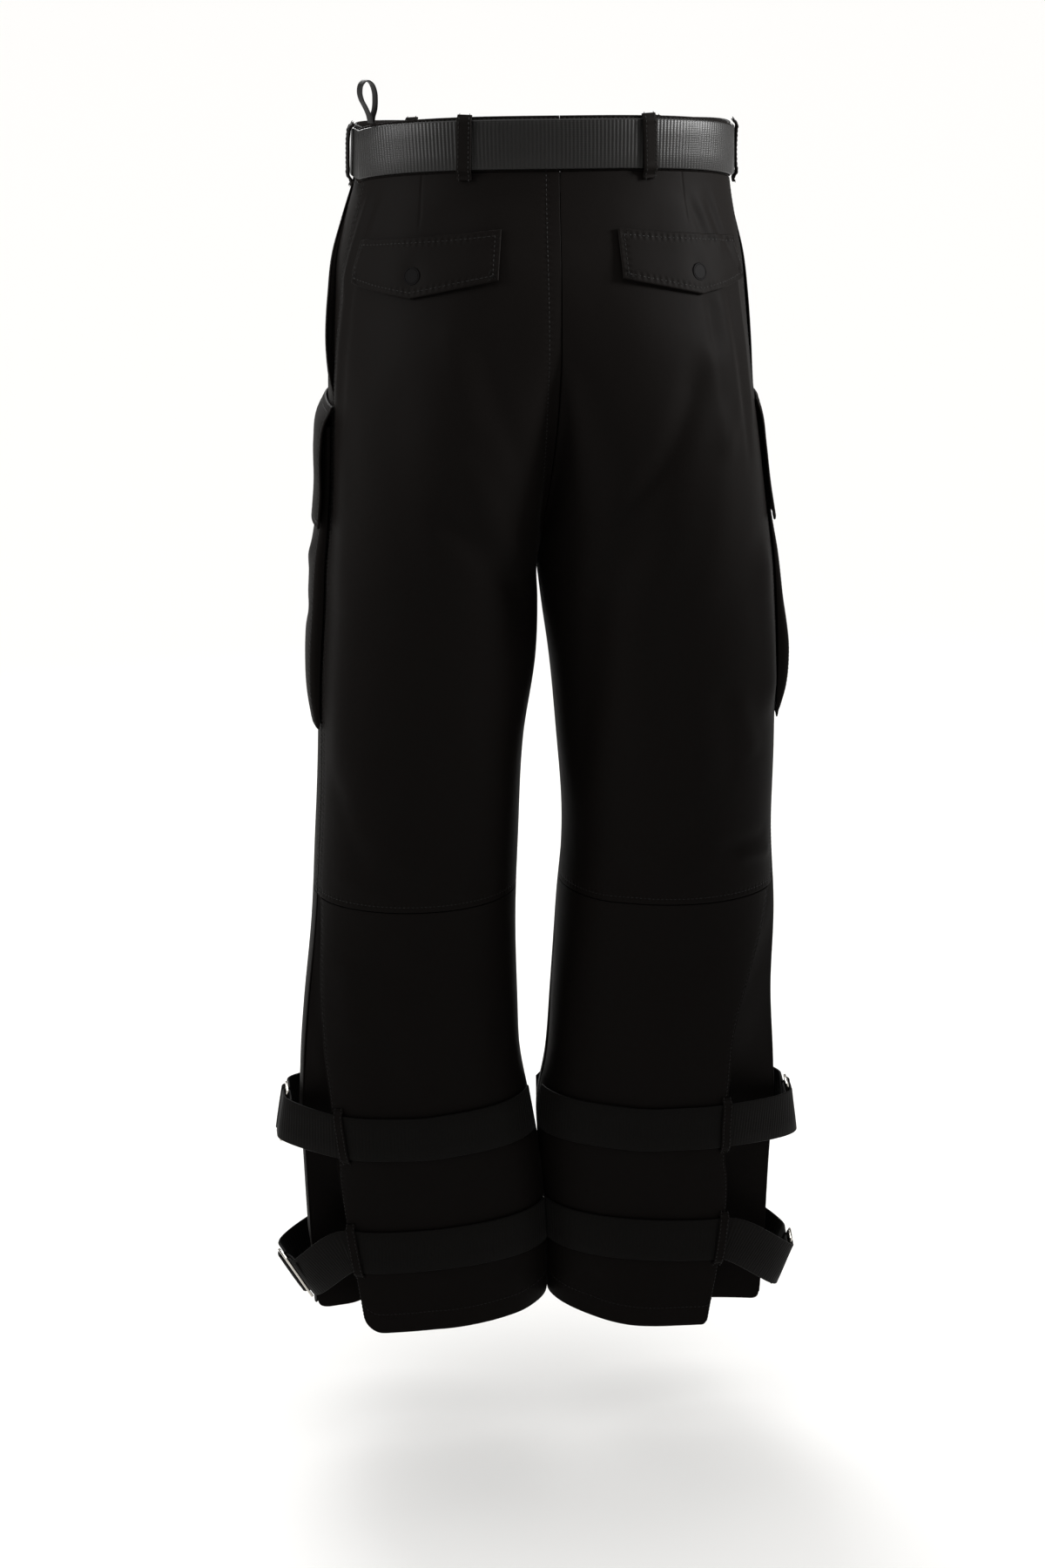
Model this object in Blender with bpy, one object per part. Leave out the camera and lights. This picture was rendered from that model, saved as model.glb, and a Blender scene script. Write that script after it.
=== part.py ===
"""Cargo trousers as worn: hollow legs and hips in sewn panels, a webbing belt, bellows pockets
at the sides, and two webbing straps with metal slides round each lower leg.

Metres, +Z up, the front towards -Y, the wearer's left at +X. The origin is the middle of the
waist opening. A place on the cloth is (side, u, z): side is +1 for the left leg and -1 for the
right, u runs once round a leg from the back seam or inseam (0) past the side seam (1) to the
front seam or inseam (2), and z is the height.
"""

import math

import bpy
import numpy as np

MM = 0.001

# ---- driving dimensions, in metres
WALL = 1.5 * MM  # a panel of cloth
SEAM = 0.3 * MM  # air between two panels at a seam
LAY = 0.8 * MM  # air between a panel and what lies on it
PLY = 2.2 * MM  # a flap or band of two plies
WAISTBAND = 44 * MM
BACK_RISE = 17 * MM  # the waist is this much higher at the back than at the sides
FRONT_DROP = 12 * MM
KNEE_Z = -0.677
HEM_INNER_Z = -1.086  # the hem at the inseam
HEM_OUTER_Z = {1: -1.096, -1: -1.102}  # and from its middle outwards, on the left and the right
CROTCH_Z = -0.375
BELT = 40 * MM  # width of the belt's webbing
BELT_THICK = 2.4 * MM
BELT_BELOW_TOP = 2.5 * MM
STRAP = 42 * MM  # width of the leg straps' webbing
STRAP_THICK = 2.0 * MM
SNAP = 15 * MM
SIDE_SEAM_TURN = 0.25  # radians that the side seam lies behind the leg's widest point
GIRTH = 300 * MM  # half a leg's girth, which turns u into a length for the folds

# ---- the outline, millimetres, a row for each section
# mid: x of the plane between the legs. inner: from that plane to the leg's inner side, below
# zero where the two halves still join. peak: where the back is deepest, from 0 at the inner
# side to 1 at the outer. square: 2 is an ellipse, more is squarer.
SECTION_COLUMNS = ("z", "mid", "inner", "peak", "left", "right", "back", "front", "square")
SECTIONS = (
    (25, 0, -160, 0.500, 160, 156, 116, 104, 2.2),
    (0, 0, -160, 0.500, 161, 157, 117, 105, 2.2),
    (-45, 0, -156, 0.497, 163, 158, 122, 109, 2.2),
    (-80, 0, -140, 0.485, 172, 164, 130, 114, 2.2),
    (-110, 0, -120, 0.475, 179, 170, 138, 117, 2.2),
    (-145, 0, -97, 0.465, 182, 174, 144, 118, 2.2),
    (-180, 0, -76, 0.460, 185, 177, 147, 118, 2.3),
    (-215, 0.5, -56, 0.465, 187, 180, 148, 117, 2.3),
    (-250, 1.5, -36, 0.475, 188, 184, 147, 115, 2.3),
    (-300, 4, -16, 0.485, 189, 190, 141, 111, 2.3),
    (-345, 7, -5, 0.495, 192, 196, 131, 107, 2.3),
    (-375, 8, 0.15, 0.500, 195, 200, 124, 105, 2.3),
    (-410, 5.5, 2.5, 0.500, 197, 203, 117, 104, 2.3),
    (-460, 2.5, 7, 0.500, 200, 206, 111, 102, 2.3),
    (-535, 4, 15, 0.500, 202, 206, 103, 99, 2.3),
    (-620, 3.5, 21, 0.500, 206, 206, 94, 96, 2.3),
    (-705, 7, 20, 0.500, 211, 212, 84, 94, 2.3),
    (-785, 8.5, 16, 0.540, 219, 211, 82, 92, 2.3),
    (-850, 9, 11.5, 0.570, 224, 214, 81, 91, 2.3),
    (-900, 8.5, 2.6, 0.590, 226, 215, 80, 90, 2.3),
    (-935, 5, 0.3, 0.610, 224, 213, 78, 89, 2.3),
    (-1010, -1.5, 0.3, 0.650, 220, 211, 74, 87, 2.3),
    (-1105, -4, 0.3, 0.680, 215, 206, 69, 85, 2.3),
)

# ---- the wedge at the outer side of each lower leg, a row for each section
# left, right: u of the back panel's free edge. depth: how far the wedge is folded in, millimetres
GORE_COLUMNS = ("z", "left", "right", "depth")
GORE = (
    (-677, 0.960, 0.930, 3),
    (-755, 0.920, 0.815, 9),
    (-810, 0.880, 0.755, 17),
    (-860, 0.840, 0.735, 26),
    (-985, 0.800, 0.730, 44),
    (-1100, 0.755, 0.685, 54),
)

# ---- the largest folds, a row each: a soft ridge, or a trough where height is below 0, from one
# place to another; z, width and height in millimetres
FOLD_COLUMNS = ("side", "u0", "z0", "u1", "z1", "width", "height")
FOLDS = (
    (-1, 0.62, -175, 0.64, -260, 16, 4),
    (-1, 0.52, -190, 0.30, -330, 16, -6),
    (-1, 0.40, -320, 0.20, -560, 20, -5),
    (1, 0.45, -300, 0.22, -420, 18, -4),
    (1, 0.86, -260, 0.84, -560, 22, 4),
    (-1, 0.86, -360, 0.90, -500, 18, 5),
    (1, 0.60, -590, 0.30, -660, 18, -3),
    (-1, 0.62, -600, 0.35, -670, 18, -3),
    (1, 0.55, -760, 0.50, -980, 24, 3),
    (-1, 0.50, -760, 0.45, -960, 24, 3),
    (1, 1.74, -230, 1.90, -370, 18, -3),
    (-1, 1.72, -220, 1.88, -360, 18, -3),
    (1, 1.40, -600, 1.75, -680, 16, -4),
    (-1, 1.35, -590, 1.70, -670, 16, -4),
    (1, 1.45, -760, 1.70, -830, 16, -3),
    (-1, 1.42, -770, 1.72, -850, 16, -3),
)


def table(columns, rows):
    """A dictionary of arrays, one for each named column."""
    return dict(zip(columns, np.array(rows, float).T))


def curve(knots, values, at):
    """A smooth curve through the knots, which may fall or rise."""
    order = np.argsort(knots)
    knots, values = np.asarray(knots, float)[order], np.asarray(values, float)[order]
    slopes = np.gradient(values, knots)
    at = np.clip(at, knots[0], knots[-1])
    i = np.clip(np.searchsorted(knots, at) - 1, 0, len(knots) - 2)
    step = knots[i + 1] - knots[i]
    t = (at - knots[i]) / step
    rise = values[i] * (2 * t**3 - 3 * t**2 + 1) + values[i + 1] * (3 * t**2 - 2 * t**3)
    return rise + step * (slopes[i] * (t**3 - 2 * t**2 + t) + slopes[i + 1] * (t**3 - t**2))


def unit(way):
    return way / np.linalg.norm(way)


def smoothstep(t):
    t = np.clip(t, 0, 1)
    return t * t * (3 - 2 * t)


SECTION = table(SECTION_COLUMNS, SECTIONS)
WEDGE = table(GORE_COLUMNS, GORE)


def read(name, z):
    """One column of the outline at each height, in metres (peak and square have no unit)."""
    measure = 1 if name in ("peak", "square") else MM
    return curve(SECTION["z"] * MM, SECTION[name], z) * measure


def fold_height(side, u, z):
    """How far the cloth stands out from its outline at each place."""
    height = np.zeros_like(u)
    for row in FOLDS:
        fold = dict(zip(FOLD_COLUMNS, row))
        if fold["side"] != side:
            continue
        start = np.array([fold["u0"] * GIRTH, fold["z0"] * MM])
        along = np.array([fold["u1"] * GIRTH, fold["z1"] * MM]) - start
        length = np.hypot(*along)
        along = along / length
        du, dz = u * GIRTH - start[0], z - start[1]
        run = (du * along[0] + dz * along[1]) / length
        off = np.abs(du * along[1] - dz * along[0]) / (fold["width"] * MM)
        ends = smoothstep(run / 0.3 + 0.5) * smoothstep((1 - run) / 0.3 + 0.5)
        height += fold["height"] * MM * np.exp(-off * off) * ends
    return height


def turn(centre, reach_in, reach_out, back, front, power, angle):
    """A point of the squared oval at each angle, as a distance from the mid-plane and a depth."""
    c, s = np.cos(angle), np.sin(angle)
    reach = np.where(c < 0, reach_in, reach_out)
    depth = np.where(s < 0, front, back)
    far = centre + reach * np.sign(c) * np.abs(c) ** power
    return far, depth * np.sign(s) * np.abs(s) ** power


def surface(side, u, z):
    """The outside of the cloth at each (u, z), shape (n, 3). u may pass a little beyond 0 and 2."""
    u, z = np.atleast_1d(np.asarray(u, float)), np.atleast_1d(np.asarray(z, float))
    joined = z > CROTCH_Z
    mirrored = joined & ((u < 0) | (u > 2))
    wrapped = np.where(u < 0, np.where(joined, -u, u + 2), u)
    wrapped = np.where(u > 2, np.where(joined, 4 - u, u - 2), wrapped)
    mid, power = read("mid", z), 2 / read("square", z)
    outer = read("left" if side > 0 else "right", z) - side * mid
    inner = read("inner", z)
    centre = inner + read("peak", z) * (outer - inner)
    start = np.maximum(SEAM / 2, inner)
    reach_in, reach_out = centre - inner, outer - centre
    back, front = read("back", z), read("front", z)
    share = np.clip((centre - start) / reach_in, 0, 1)
    first = math.pi - np.arccos(share ** (1 / power))
    is_back = wrapped <= 1
    a0 = np.where(is_back, first, SIDE_SEAM_TURN)
    a1 = np.where(is_back, SIDE_SEAM_TURN, -first)
    share = np.where(is_back, wrapped, wrapped - 1)
    steps = np.linspace(0, 1, 49)
    angles = a0[:, None] + (a1 - a0)[:, None] * steps
    shape = [v[:, None] for v in (centre, reach_in, reach_out, back, front, power)]
    far, deep = turn(*shape, angles)
    run = np.cumsum(np.hypot(np.diff(far, axis=1), np.diff(deep, axis=1)), axis=1)
    run = np.concatenate([np.zeros((len(u), 1)), run], axis=1)
    wanted = share * run[:, -1]
    i = np.clip((run < wanted[:, None]).sum(axis=1) - 1, 0, len(steps) - 2)
    row = np.arange(len(u))
    between = (wanted - run[row, i]) / np.maximum(run[row, i + 1] - run[row, i], 1e-9)
    angle = a0 + (a1 - a0) * (steps[i] + between * (steps[1] - steps[0]))
    far, deep = turn(centre, reach_in, reach_out, back, front, power, angle)
    out = np.stack([far - centre, deep], axis=1)
    out /= np.maximum(np.linalg.norm(out, axis=1), 1e-6)[:, None]
    height = fold_height(side, wrapped, z)
    far = np.maximum(far + out[:, 0] * height, start * 0.999)
    far = np.where(mirrored, -far, far)
    return np.stack([mid + side * far, deep + out[:, 1] * height, z], axis=1)


def normal(side, u, z, place=surface):
    """The outward direction of the cloth at each place."""
    u, z = np.atleast_1d(np.asarray(u, float)), np.atleast_1d(np.asarray(z, float))
    du, dz = 0.02, 4 * MM
    across = place(side, u + du, z) - place(side, u - du, z)
    down = place(side, u, z - dz) - place(side, u, z + dz)
    out = np.cross(across, down) * side
    return out / np.linalg.norm(out, axis=1)[:, None]


def rise(u):
    """The waist's height above its sides."""
    back = BACK_RISE * (1 - np.clip(u, 0, 1) ** 2.6)
    return back - FRONT_DROP * (1 - np.cos(np.pi * np.clip(u - 1, 0, 1))) / 2


def gore_edge(side, z):
    """u of the lower back panel's outer edge."""
    return curve(WEDGE["z"] * MM, WEDGE["left" if side > 0 else "right"], z)


def gore(side, t, z):
    """The wedge: t runs from the back panel's edge (0), in behind it, and out to the side seam (1)."""
    t, z = np.atleast_1d(np.asarray(t, float)), np.atleast_1d(np.asarray(z, float))
    edge, seam = gore_edge(side, z), np.ones_like(z)
    depth = curve(WEDGE["z"] * MM, WEDGE["depth"], z)[:, None] * MM
    out = normal(side, edge, z)
    under = WALL + SEAM
    start = surface(side, edge, z) - out * under
    end = surface(side, seam, z) - normal(side, seam, z) * under
    forward = smoothstep(depth / (20 * MM))
    inward = np.array([0, -1, 0]) * forward - out * (1 - forward)
    sunk = np.sin(np.pi / 2 * np.clip(t / 0.42, 0, 1))[:, None]
    along = smoothstep((t - 0.3) / 0.7)[:, None]
    return start + inward * depth * sunk * (1 - along) + (end - start) * along


# ---- objects
for old in list(bpy.data.objects):
    bpy.data.objects.remove(old, do_unlink=True)

FINISHES = {
    "cotton_satin": ((0.012, 0.011, 0.012), 0.55, 0.0),
    "webbing": ((0.022, 0.020, 0.021), 0.75, 0.0),
    "ribbon": ((0.015, 0.014, 0.015), 0.6, 0.0),
    "nickel": ((0.55, 0.55, 0.56), 0.25, 1.0),
    "black_metal": ((0.02, 0.02, 0.02), 0.35, 0.8),
    "zip_tape": ((0.015, 0.015, 0.015), 0.7, 0.0),
}
MATERIALS = {}


def material(finish):
    if finish not in MATERIALS:
        colour, roughness, metallic = FINISHES[finish]
        made = bpy.data.materials.new(finish)
        made.use_nodes = True
        shader = made.node_tree.nodes["Principled BSDF"]
        shader.inputs["Base Color"].default_value = (*colour, 1)
        shader.inputs["Roughness"].default_value = roughness
        shader.inputs["Metallic"].default_value = metallic
        MATERIALS[finish] = made
    return MATERIALS[finish]


def solid(name, points, faces, finish):
    """A closed mesh, turned so that its faces point out."""
    points = np.asarray(points, float)
    volume = 0.0
    for face in faces:
        for k in range(1, len(face) - 1):
            volume += np.dot(points[face[0]], np.cross(points[face[k]], points[face[k + 1]]))
    if volume < 0:
        faces = [tuple(reversed(face)) for face in faces]
    mesh = bpy.data.meshes.new(name)
    mesh.from_pydata([tuple(p) for p in points], [], faces)
    mesh.shade_smooth()
    mesh.set_sharp_from_angle(angle=math.radians(40))
    made = bpy.data.objects.new(name, mesh)
    bpy.context.scene.collection.objects.link(made)
    made.data.materials.append(material(finish))
    return made


def wall(name, outer, inner, finish="cotton_satin", ring=False):
    """A wall between two grids of points of the same shape (across, down, 3)."""
    across, down = outer.shape[:2]
    points = np.concatenate([outer.reshape(-1, 3), inner.reshape(-1, 3)])
    back = across * down

    def at(i, j, layer=0):
        return layer * back + (i % across) * down + j

    faces = []
    for i in range(across if ring else across - 1):
        for j in range(down - 1):
            faces.append((at(i, j), at(i + 1, j), at(i + 1, j + 1), at(i, j + 1)))
            faces.append((at(i, j, 1), at(i, j + 1, 1), at(i + 1, j + 1, 1), at(i + 1, j, 1)))
        faces.append((at(i + 1, 0), at(i, 0), at(i, 0, 1), at(i + 1, 0, 1)))
        last = down - 1
        faces.append((at(i, last), at(i + 1, last), at(i + 1, last, 1), at(i, last, 1)))
    if not ring:
        for j in range(down - 1):
            last = across - 1
            faces.append((at(0, j), at(0, j + 1), at(0, j + 1, 1), at(0, j, 1)))
            faces.append((at(last, j + 1), at(last, j), at(last, j, 1), at(last, j + 1, 1)))
    return solid(name, points, faces, finish)


def raised(side, u, z, height, place=surface):
    """The points at a height outside the cloth, over a grid of (u, z)."""
    flat_u, flat_z = u.ravel(), z.ravel()
    height = np.broadcast_to(height, u.shape).ravel()[:, None]
    points = place(side, flat_u, flat_z) + normal(side, flat_u, flat_z, place) * height
    return points.reshape(*u.shape, 3)


def own_side(side, points):
    """The points, moved where one has crossed the plane between the legs."""
    mid = read("mid", points[..., 2])
    points = points.copy()
    points[..., 0] = mid + side * np.maximum(side * (points[..., 0] - mid), SEAM / 2)
    return points


def laid(name, side, u, z, low, high, finish="cotton_satin", place=surface):
    """A wall whose two faces lie at the distances low and high outside the cloth, over a grid of (u, z)."""
    outer = own_side(side, raised(side, u, z, high, place))
    inner = own_side(side, raised(side, u, z, low, place))
    return wall(name, outer, inner, finish)


EPS = SEAM / 2 / GIRTH  # half a seam's air as a share of u


def levels(side, seam_u, count):
    """Shares of the way from the waist to the knee, evenly spaced along the crotch curve and inseam."""
    z = np.linspace(-WAISTBAND, KNEE_Z, 1200)
    run = surface(side, np.full_like(z, seam_u), z)
    length = np.concatenate([[0], np.cumsum(np.linalg.norm(np.diff(run, axis=0), axis=1))])
    share = (z - z[0]) / (z[-1] - z[0])
    return np.interp(np.linspace(0, length[-1], count), length, share)


def upper_heights(side, seam_u, u):
    """z over a panel from the waistband to the knee: level at the side, crowded at the crotch."""
    rows = u.shape[1]
    even = np.linspace(0, 1, rows)
    close = (1 - np.abs(u - seam_u)) ** 2
    share = even + (levels(side, seam_u, rows) - even) * close
    top, bottom = rise(u) - WAISTBAND - SEAM, KNEE_Z + SEAM
    return top + (bottom - top) * share


def spread(low, high, count, rows):
    """Columns of u from low to high, each repeated down the rows."""
    return np.repeat(np.linspace(low, high, count)[:, None], rows, axis=1)


def side_name(side):
    return "left" if side > 0 else "right"


# ---- panels


def upper_back(side):
    u = spread(EPS, 1 - EPS, 15, 25)
    laid(f"back_panel_{side_name(side)}", side, u, upper_heights(side, 0, u), -WALL, 0)


MOUTH_WIDTH = 0.20  # the slanted pocket's mouth at the waistband, as a share of u
MOUTH_Z = -0.222  # where it meets the side seam
MOUTH_GAPE = {1: 6 * MM, -1: 1.5 * MM}  # left and right


def mouth_edge(z):
    """u of the front panel's slanted edge."""
    return 1 + EPS + MOUTH_WIDTH * np.clip((z - MOUTH_Z) / (-WAISTBAND - MOUTH_Z), 0, 1)


def upper_front(side):
    share = spread(0, 1, 13, 22)
    z = upper_heights(side, 2, 1 + share)
    low = mouth_edge(z)
    u = low + (2 - EPS - low) * share
    z = upper_heights(side, 2, u)
    down = np.clip((z + WAISTBAND) / (MOUTH_Z + WAISTBAND), 0, 1)
    gape = MOUTH_GAPE[side] * np.sin(np.pi * down**2) * (1 - smoothstep((u - low) / 0.16))
    laid(f"front_panel_{side_name(side)}", side, u, z, gape - WALL, gape)


def hip_facing(side):
    share = spread(0, 1, 5, 8)
    top = rise(1.1) - WAISTBAND - 2 * MM
    z = top + (MOUTH_Z + 4 * MM - top) * np.linspace(0, 1, 8) + 0 * share
    u = 1 + EPS + (mouth_edge(z) + 0.07 - 1 - EPS) * share
    under = -WALL - 0.6 * MM
    laid(f"hip_facing_{side_name(side)}", side, u, z, under - 1.2 * MM, under)


LOWER_COLUMNS = 12


def lower_heights(side, u):
    """z over a panel from the knee to the hem, which climbs a little towards the inseam."""
    share = np.linspace(0, 1, u.shape[1])
    out = smoothstep(np.minimum(u, 2 - u) / 0.6)
    hem = HEM_INNER_Z + (HEM_OUTER_Z[side] - HEM_INNER_Z) * out
    return KNEE_Z - SEAM + (hem - KNEE_Z + SEAM) * share


def lower_back_u(side, share, z):
    return EPS + (gore_edge(side, z) - 2 * EPS) * share


def lower_back(side):
    share = spread(0, 1, LOWER_COLUMNS, 13)
    z = lower_heights(side, 0.9 * share)
    laid(f"lower_back_{side_name(side)}", side, lower_back_u(side, share, z), z, -WALL, 0)


def lower_front(side):
    u = spread(1 + EPS, 2 - EPS, 11, 13)
    laid(f"lower_front_{side_name(side)}", side, u, lower_heights(side, u), -WALL, 0)


def side_gore(side):
    t = spread(0.012, 0.992, 10, 13)
    z = lower_heights(side, np.ones_like(t))
    laid(f"side_gore_{side_name(side)}", side, t, z, -WALL, 0, place=gore)


# ---- waist


def waistband(side):
    u = spread(EPS, 2 - EPS, 25, 2)
    z = rise(u) - WAISTBAND * np.array([0, 1])
    laid(f"waistband_{side_name(side)}", side, u, z, -PLY, 0)


def band(u, top, width, low, high, side=1):
    """The two faces of a band that lies along the waist, for wall()."""
    z = rise(u) - top - width * np.array([0, 1])
    return raised(side, u, z, high), raised(side, u, z, low)


def belt():
    half = spread(0.01, 1.99, 25, 2)
    left, right = (band(half, BELT_BELOW_TOP, BELT, LAY, LAY + BELT_THICK, side) for side in (1, -1))
    outer, inner = (np.concatenate([a, b[::-1]]) for a, b in zip(left, right))
    wall("belt", outer, inner, "webbing", ring=True)
    low = 2 * LAY + BELT_THICK
    tip = spread(1.70, 2.12, 9, 2)
    wall("belt_tip", *band(tip, BELT_BELOW_TOP, BELT, low, low + BELT_THICK), "webbing")


def ribbon(name, centres, widthways, width, thick, finish, ring=False):
    """A flat strip of cloth or webbing along a path: widthways is the direction of its width there."""
    centres = np.asarray(centres, float)
    if ring:
        along = np.roll(centres, -1, axis=0) - np.roll(centres, 1, axis=0)
    else:
        along = np.gradient(centres, axis=0)
    along /= np.linalg.norm(along, axis=1)[:, None]
    widthways = np.broadcast_to(np.asarray(widthways, float), centres.shape)
    widthways = widthways - along * (widthways * along).sum(axis=1)[:, None]
    widthways = widthways / np.linalg.norm(widthways, axis=1)[:, None]
    out = np.cross(along, widthways) * thick / 2
    edge = widthways * width / 2
    outer = np.stack([centres - edge + out, centres + edge + out], axis=1)
    inner = np.stack([centres - edge - out, centres + edge - out], axis=1)
    return wall(name, outer, inner, finish, ring)


# A loop over the belt, a row for each station down it. down: millimetres below the waist's top.
# off: from the cloth to the loop's middle. bow: 1 where a slack loop stands off most.
LOOP_COLUMNS = ("down", "off", "bow")
LOOP = (
    (-2.5, 1.9, 0),
    (-0.5, 3.2, 0),
    (1.5, 4.9, 0),
    (8, 5.2, 0.6),
    (22, 5.2, 1),
    (36, 5.2, 0.7),
    (43.5, 4.9, 0.2),
    (46.5, 3.2, 0),
    (49.5, 1.9, 0),
    (54, 1.9, 0),
)
LOOP_WIDTH = 12.5 * MM
BELT_LOOPS = (("back", 0.405, 0), ("side", 1.09, 1.5), ("front", 1.56, 0.5))  # name, u, bow in mm


def belt_loops(side):
    rows = table(LOOP_COLUMNS, LOOP)
    for name, u, bow in BELT_LOOPS:
        off = (rows["off"] + bow * rows["bow"]) * MM
        at = np.full(len(off), u)
        z = rise(at) - rows["down"] * MM
        centres = surface(side, at, z) + normal(side, at, z) * off[:, None]
        across = surface(side, at + 0.01, z) - surface(side, at - 0.01, z)
        ribbon(f"belt_loop_{name}_{side_name(side)}", centres, across, LOOP_WIDTH, PLY, "cotton_satin")


# The hang loop, a row for each station: sideways and up from its foot, millimetres
HANG_LOOP = (
    (0.7, 0), (2.5, 7), (6, 14), (9.5, 20), (11, 26), (9.5, 32.5), (5, 35.5),
    (0, 33), (-3.4, 26), (-4, 19), (-3.2, 11), (-1.2, 5), (-0.7, 0),
)
HANG_U = 0.915
HANG_TURN = math.radians(30)


def hang_loop():
    z = rise(HANG_U) + 1.2 * MM
    foot = raised(1, np.array([[HANG_U]]), np.array([[z]]), -PLY / 2).reshape(3)
    sideways = np.array([math.cos(HANG_TURN), math.sin(HANG_TURN), 0])
    width = np.array([-math.sin(HANG_TURN), math.cos(HANG_TURN), 0])
    rows = np.array(HANG_LOOP) * MM
    centres = foot + rows[:, :1] * sideways + rows[:, 1:] * np.array([0, 0, 1])
    ribbon("hang_loop", centres, width, 8 * MM, 0.9 * MM, "ribbon")


# ---- flaps and pouches

# The back pocket's flap, a row for each corner across: u, and the heights of its top and lower edge
FLAP_COLUMNS = ("u", "top", "low")
FLAP = (
    (0.235, -73, -113),
    (0.400, -77, -121),
    (0.567, -81, -130),
    (0.720, -85, -127.5),
    (0.867, -89, -124),
)


def back_flap(side):
    corners = table(FLAP_COLUMNS, FLAP)
    u = spread(FLAP[0][0], FLAP[-1][0], 13, 5)
    top, low = (np.interp(u, corners["u"], corners[name]) * MM for name in ("top", "low"))
    z = top + (low - top) * np.linspace(0, 1, 5)
    laid(f"back_flap_{side_name(side)}", side, u, z, LAY, LAY + PLY)
    snap(f"back_snap_{side_name(side)}", side, FLAP[2][0], -0.112, LAY + PLY + 0.5 * MM)


def snap(name, side, u, z, lift):
    """A domed metal cap, standing on the cloth at the height lift."""
    profile = ((0.90, 0.0), (1.0, 0.5), (0.95, 1.2), (0.72, 1.8), (0.35, 2.1))  # radii, then mm
    count = 18
    out = normal(side, u, z)[0]
    foot = surface(side, u, z)[0] + out * lift
    first = unit(np.cross(out, (0, 0, 1)))
    second = np.cross(out, first)
    turns = np.arange(count) * 2 * math.pi / count
    spokes = np.cos(turns)[:, None] * first + np.sin(turns)[:, None] * second
    rings = [foot + out * h * MM + spokes * r * SNAP / 2 for r, h in profile]
    points = np.concatenate(rings + [[foot], [foot + out * 2.2 * MM]])
    base, crown = len(points) - 2, len(points) - 1
    faces = []
    for i in range(count):
        j = (i + 1) % count
        faces.append((base, j, i))
        for k in range(len(profile) - 1):
            faces.append((k * count + i, k * count + j, (k + 1) * count + j, (k + 1) * count + i))
        last = (len(profile) - 1) * count
        faces.append((last + i, last + j, crown))
    solid(name, points, faces, "black_metal")


# The bellows pocket at the side and its flap, a row for each height: how far the pouch's inside
# and the flap's underside stand off each leg, millimetres
POUCH_U = (1.0, 1.62)
POUCH_COUNT = 9
POUCH_COLUMNS = ("z", "left", "right")
POUCH = (
    (-250, 6.0, 1.0),
    (-300, 7.0, 1.4),
    (-335, 8.0, 2.4),
    (-360, 9.8, 4.0),
    (-410, 11.5, 7.0),
    (-465, 11.5, 12.5),
    (-495, 9.5, 10.0),
    (-522, 4.5, 1.6),
)
CARGO_FLAP_U = (0.965, 1.655)
CARGO_FLAP = (
    (-231, 0.8, 0.8),
    (-247, 8.3, 3.4),
    (-270, 11.0, 3.6),
    (-310, 10.2, 3.8),
    (-338, 10.7, 5.0),
)


def off_leg(rows, side, z):
    values = table(POUCH_COLUMNS, rows)
    return curve(values["z"] * MM, values[side_name(side)], z) * MM


def pouch_columns(inset):
    """u across the pouch, with its two gusset edges first and last."""
    low, high = POUCH_U[0] + inset / GIRTH, POUCH_U[1] - inset / GIRTH
    return np.concatenate([[low], np.linspace(low + 0.003, high - 0.003, POUCH_COUNT), [high]])


def pouch_face(side, inset, extra):
    """A grid over the pouch, turned in to the leg at its two sides and its foot."""
    u = pouch_columns(inset)
    foot = POUCH[-1][0] * MM + inset
    z = np.append(np.linspace(POUCH[0][0] * MM, foot + 1 * MM, 9), foot)
    u, z = np.meshgrid(u, z, indexing="ij")
    crown = 0.8 + 0.2 * np.sin(np.pi * (u - u[0]) / (u[-1] - u[0]))
    low = LAY + 0.5 * MM
    height = np.maximum(off_leg(POUCH, side, z) * crown, low + 0.2 * MM) + extra
    height[0, :] = height[-1, :] = low
    height[:, -1] = low
    return raised(side, u, z, height)


def cargo_pocket(side):
    name = side_name(side)
    wall(f"cargo_pouch_{name}", pouch_face(side, 0, WALL), pouch_face(side, WALL, 0))
    u = pouch_columns(0)
    u[0], u[-1] = CARGO_FLAP_U
    z = np.linspace(CARGO_FLAP[0][0], CARGO_FLAP[-1][0], 7) * MM
    u, z = np.meshgrid(u, z, indexing="ij")
    low = off_leg(CARGO_FLAP, side, z)
    laid(f"cargo_flap_{name}", side, u, z, low, low + PLY)
    middle, height = sum(CARGO_FLAP_U) / 2, -0.316
    lift = float(off_leg(CARGO_FLAP, side, height)) + PLY + 0.5 * MM
    snap(f"cargo_snap_{name}", side, middle, height, lift)


# ---- fly


def fly():
    share = spread(0, 1, 7, 8)
    u = 1.83 + (1.995 - 1.83) * share
    top = rise(u) - WAISTBAND - SEAM
    foot = -0.130 - 0.085 * np.sqrt(1 - (1 - share) ** 2)
    laid("fly_placket", 1, u, top + (foot - top) * np.linspace(0, 1, 8), LAY, LAY + WALL)
    u = spread(1.955, 2.045, 5, 7)
    z = -WAISTBAND - FRONT_DROP - 1 * MM - 0.135 * np.linspace(0, 1, 7) + 0 * u
    under = -WALL - 1.8 * MM
    wall("fly_zip", raised(1, u, z, under), raised(1, u, z, under - 1.3 * MM), "zip_tape")


# ---- slides and leg straps


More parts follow.
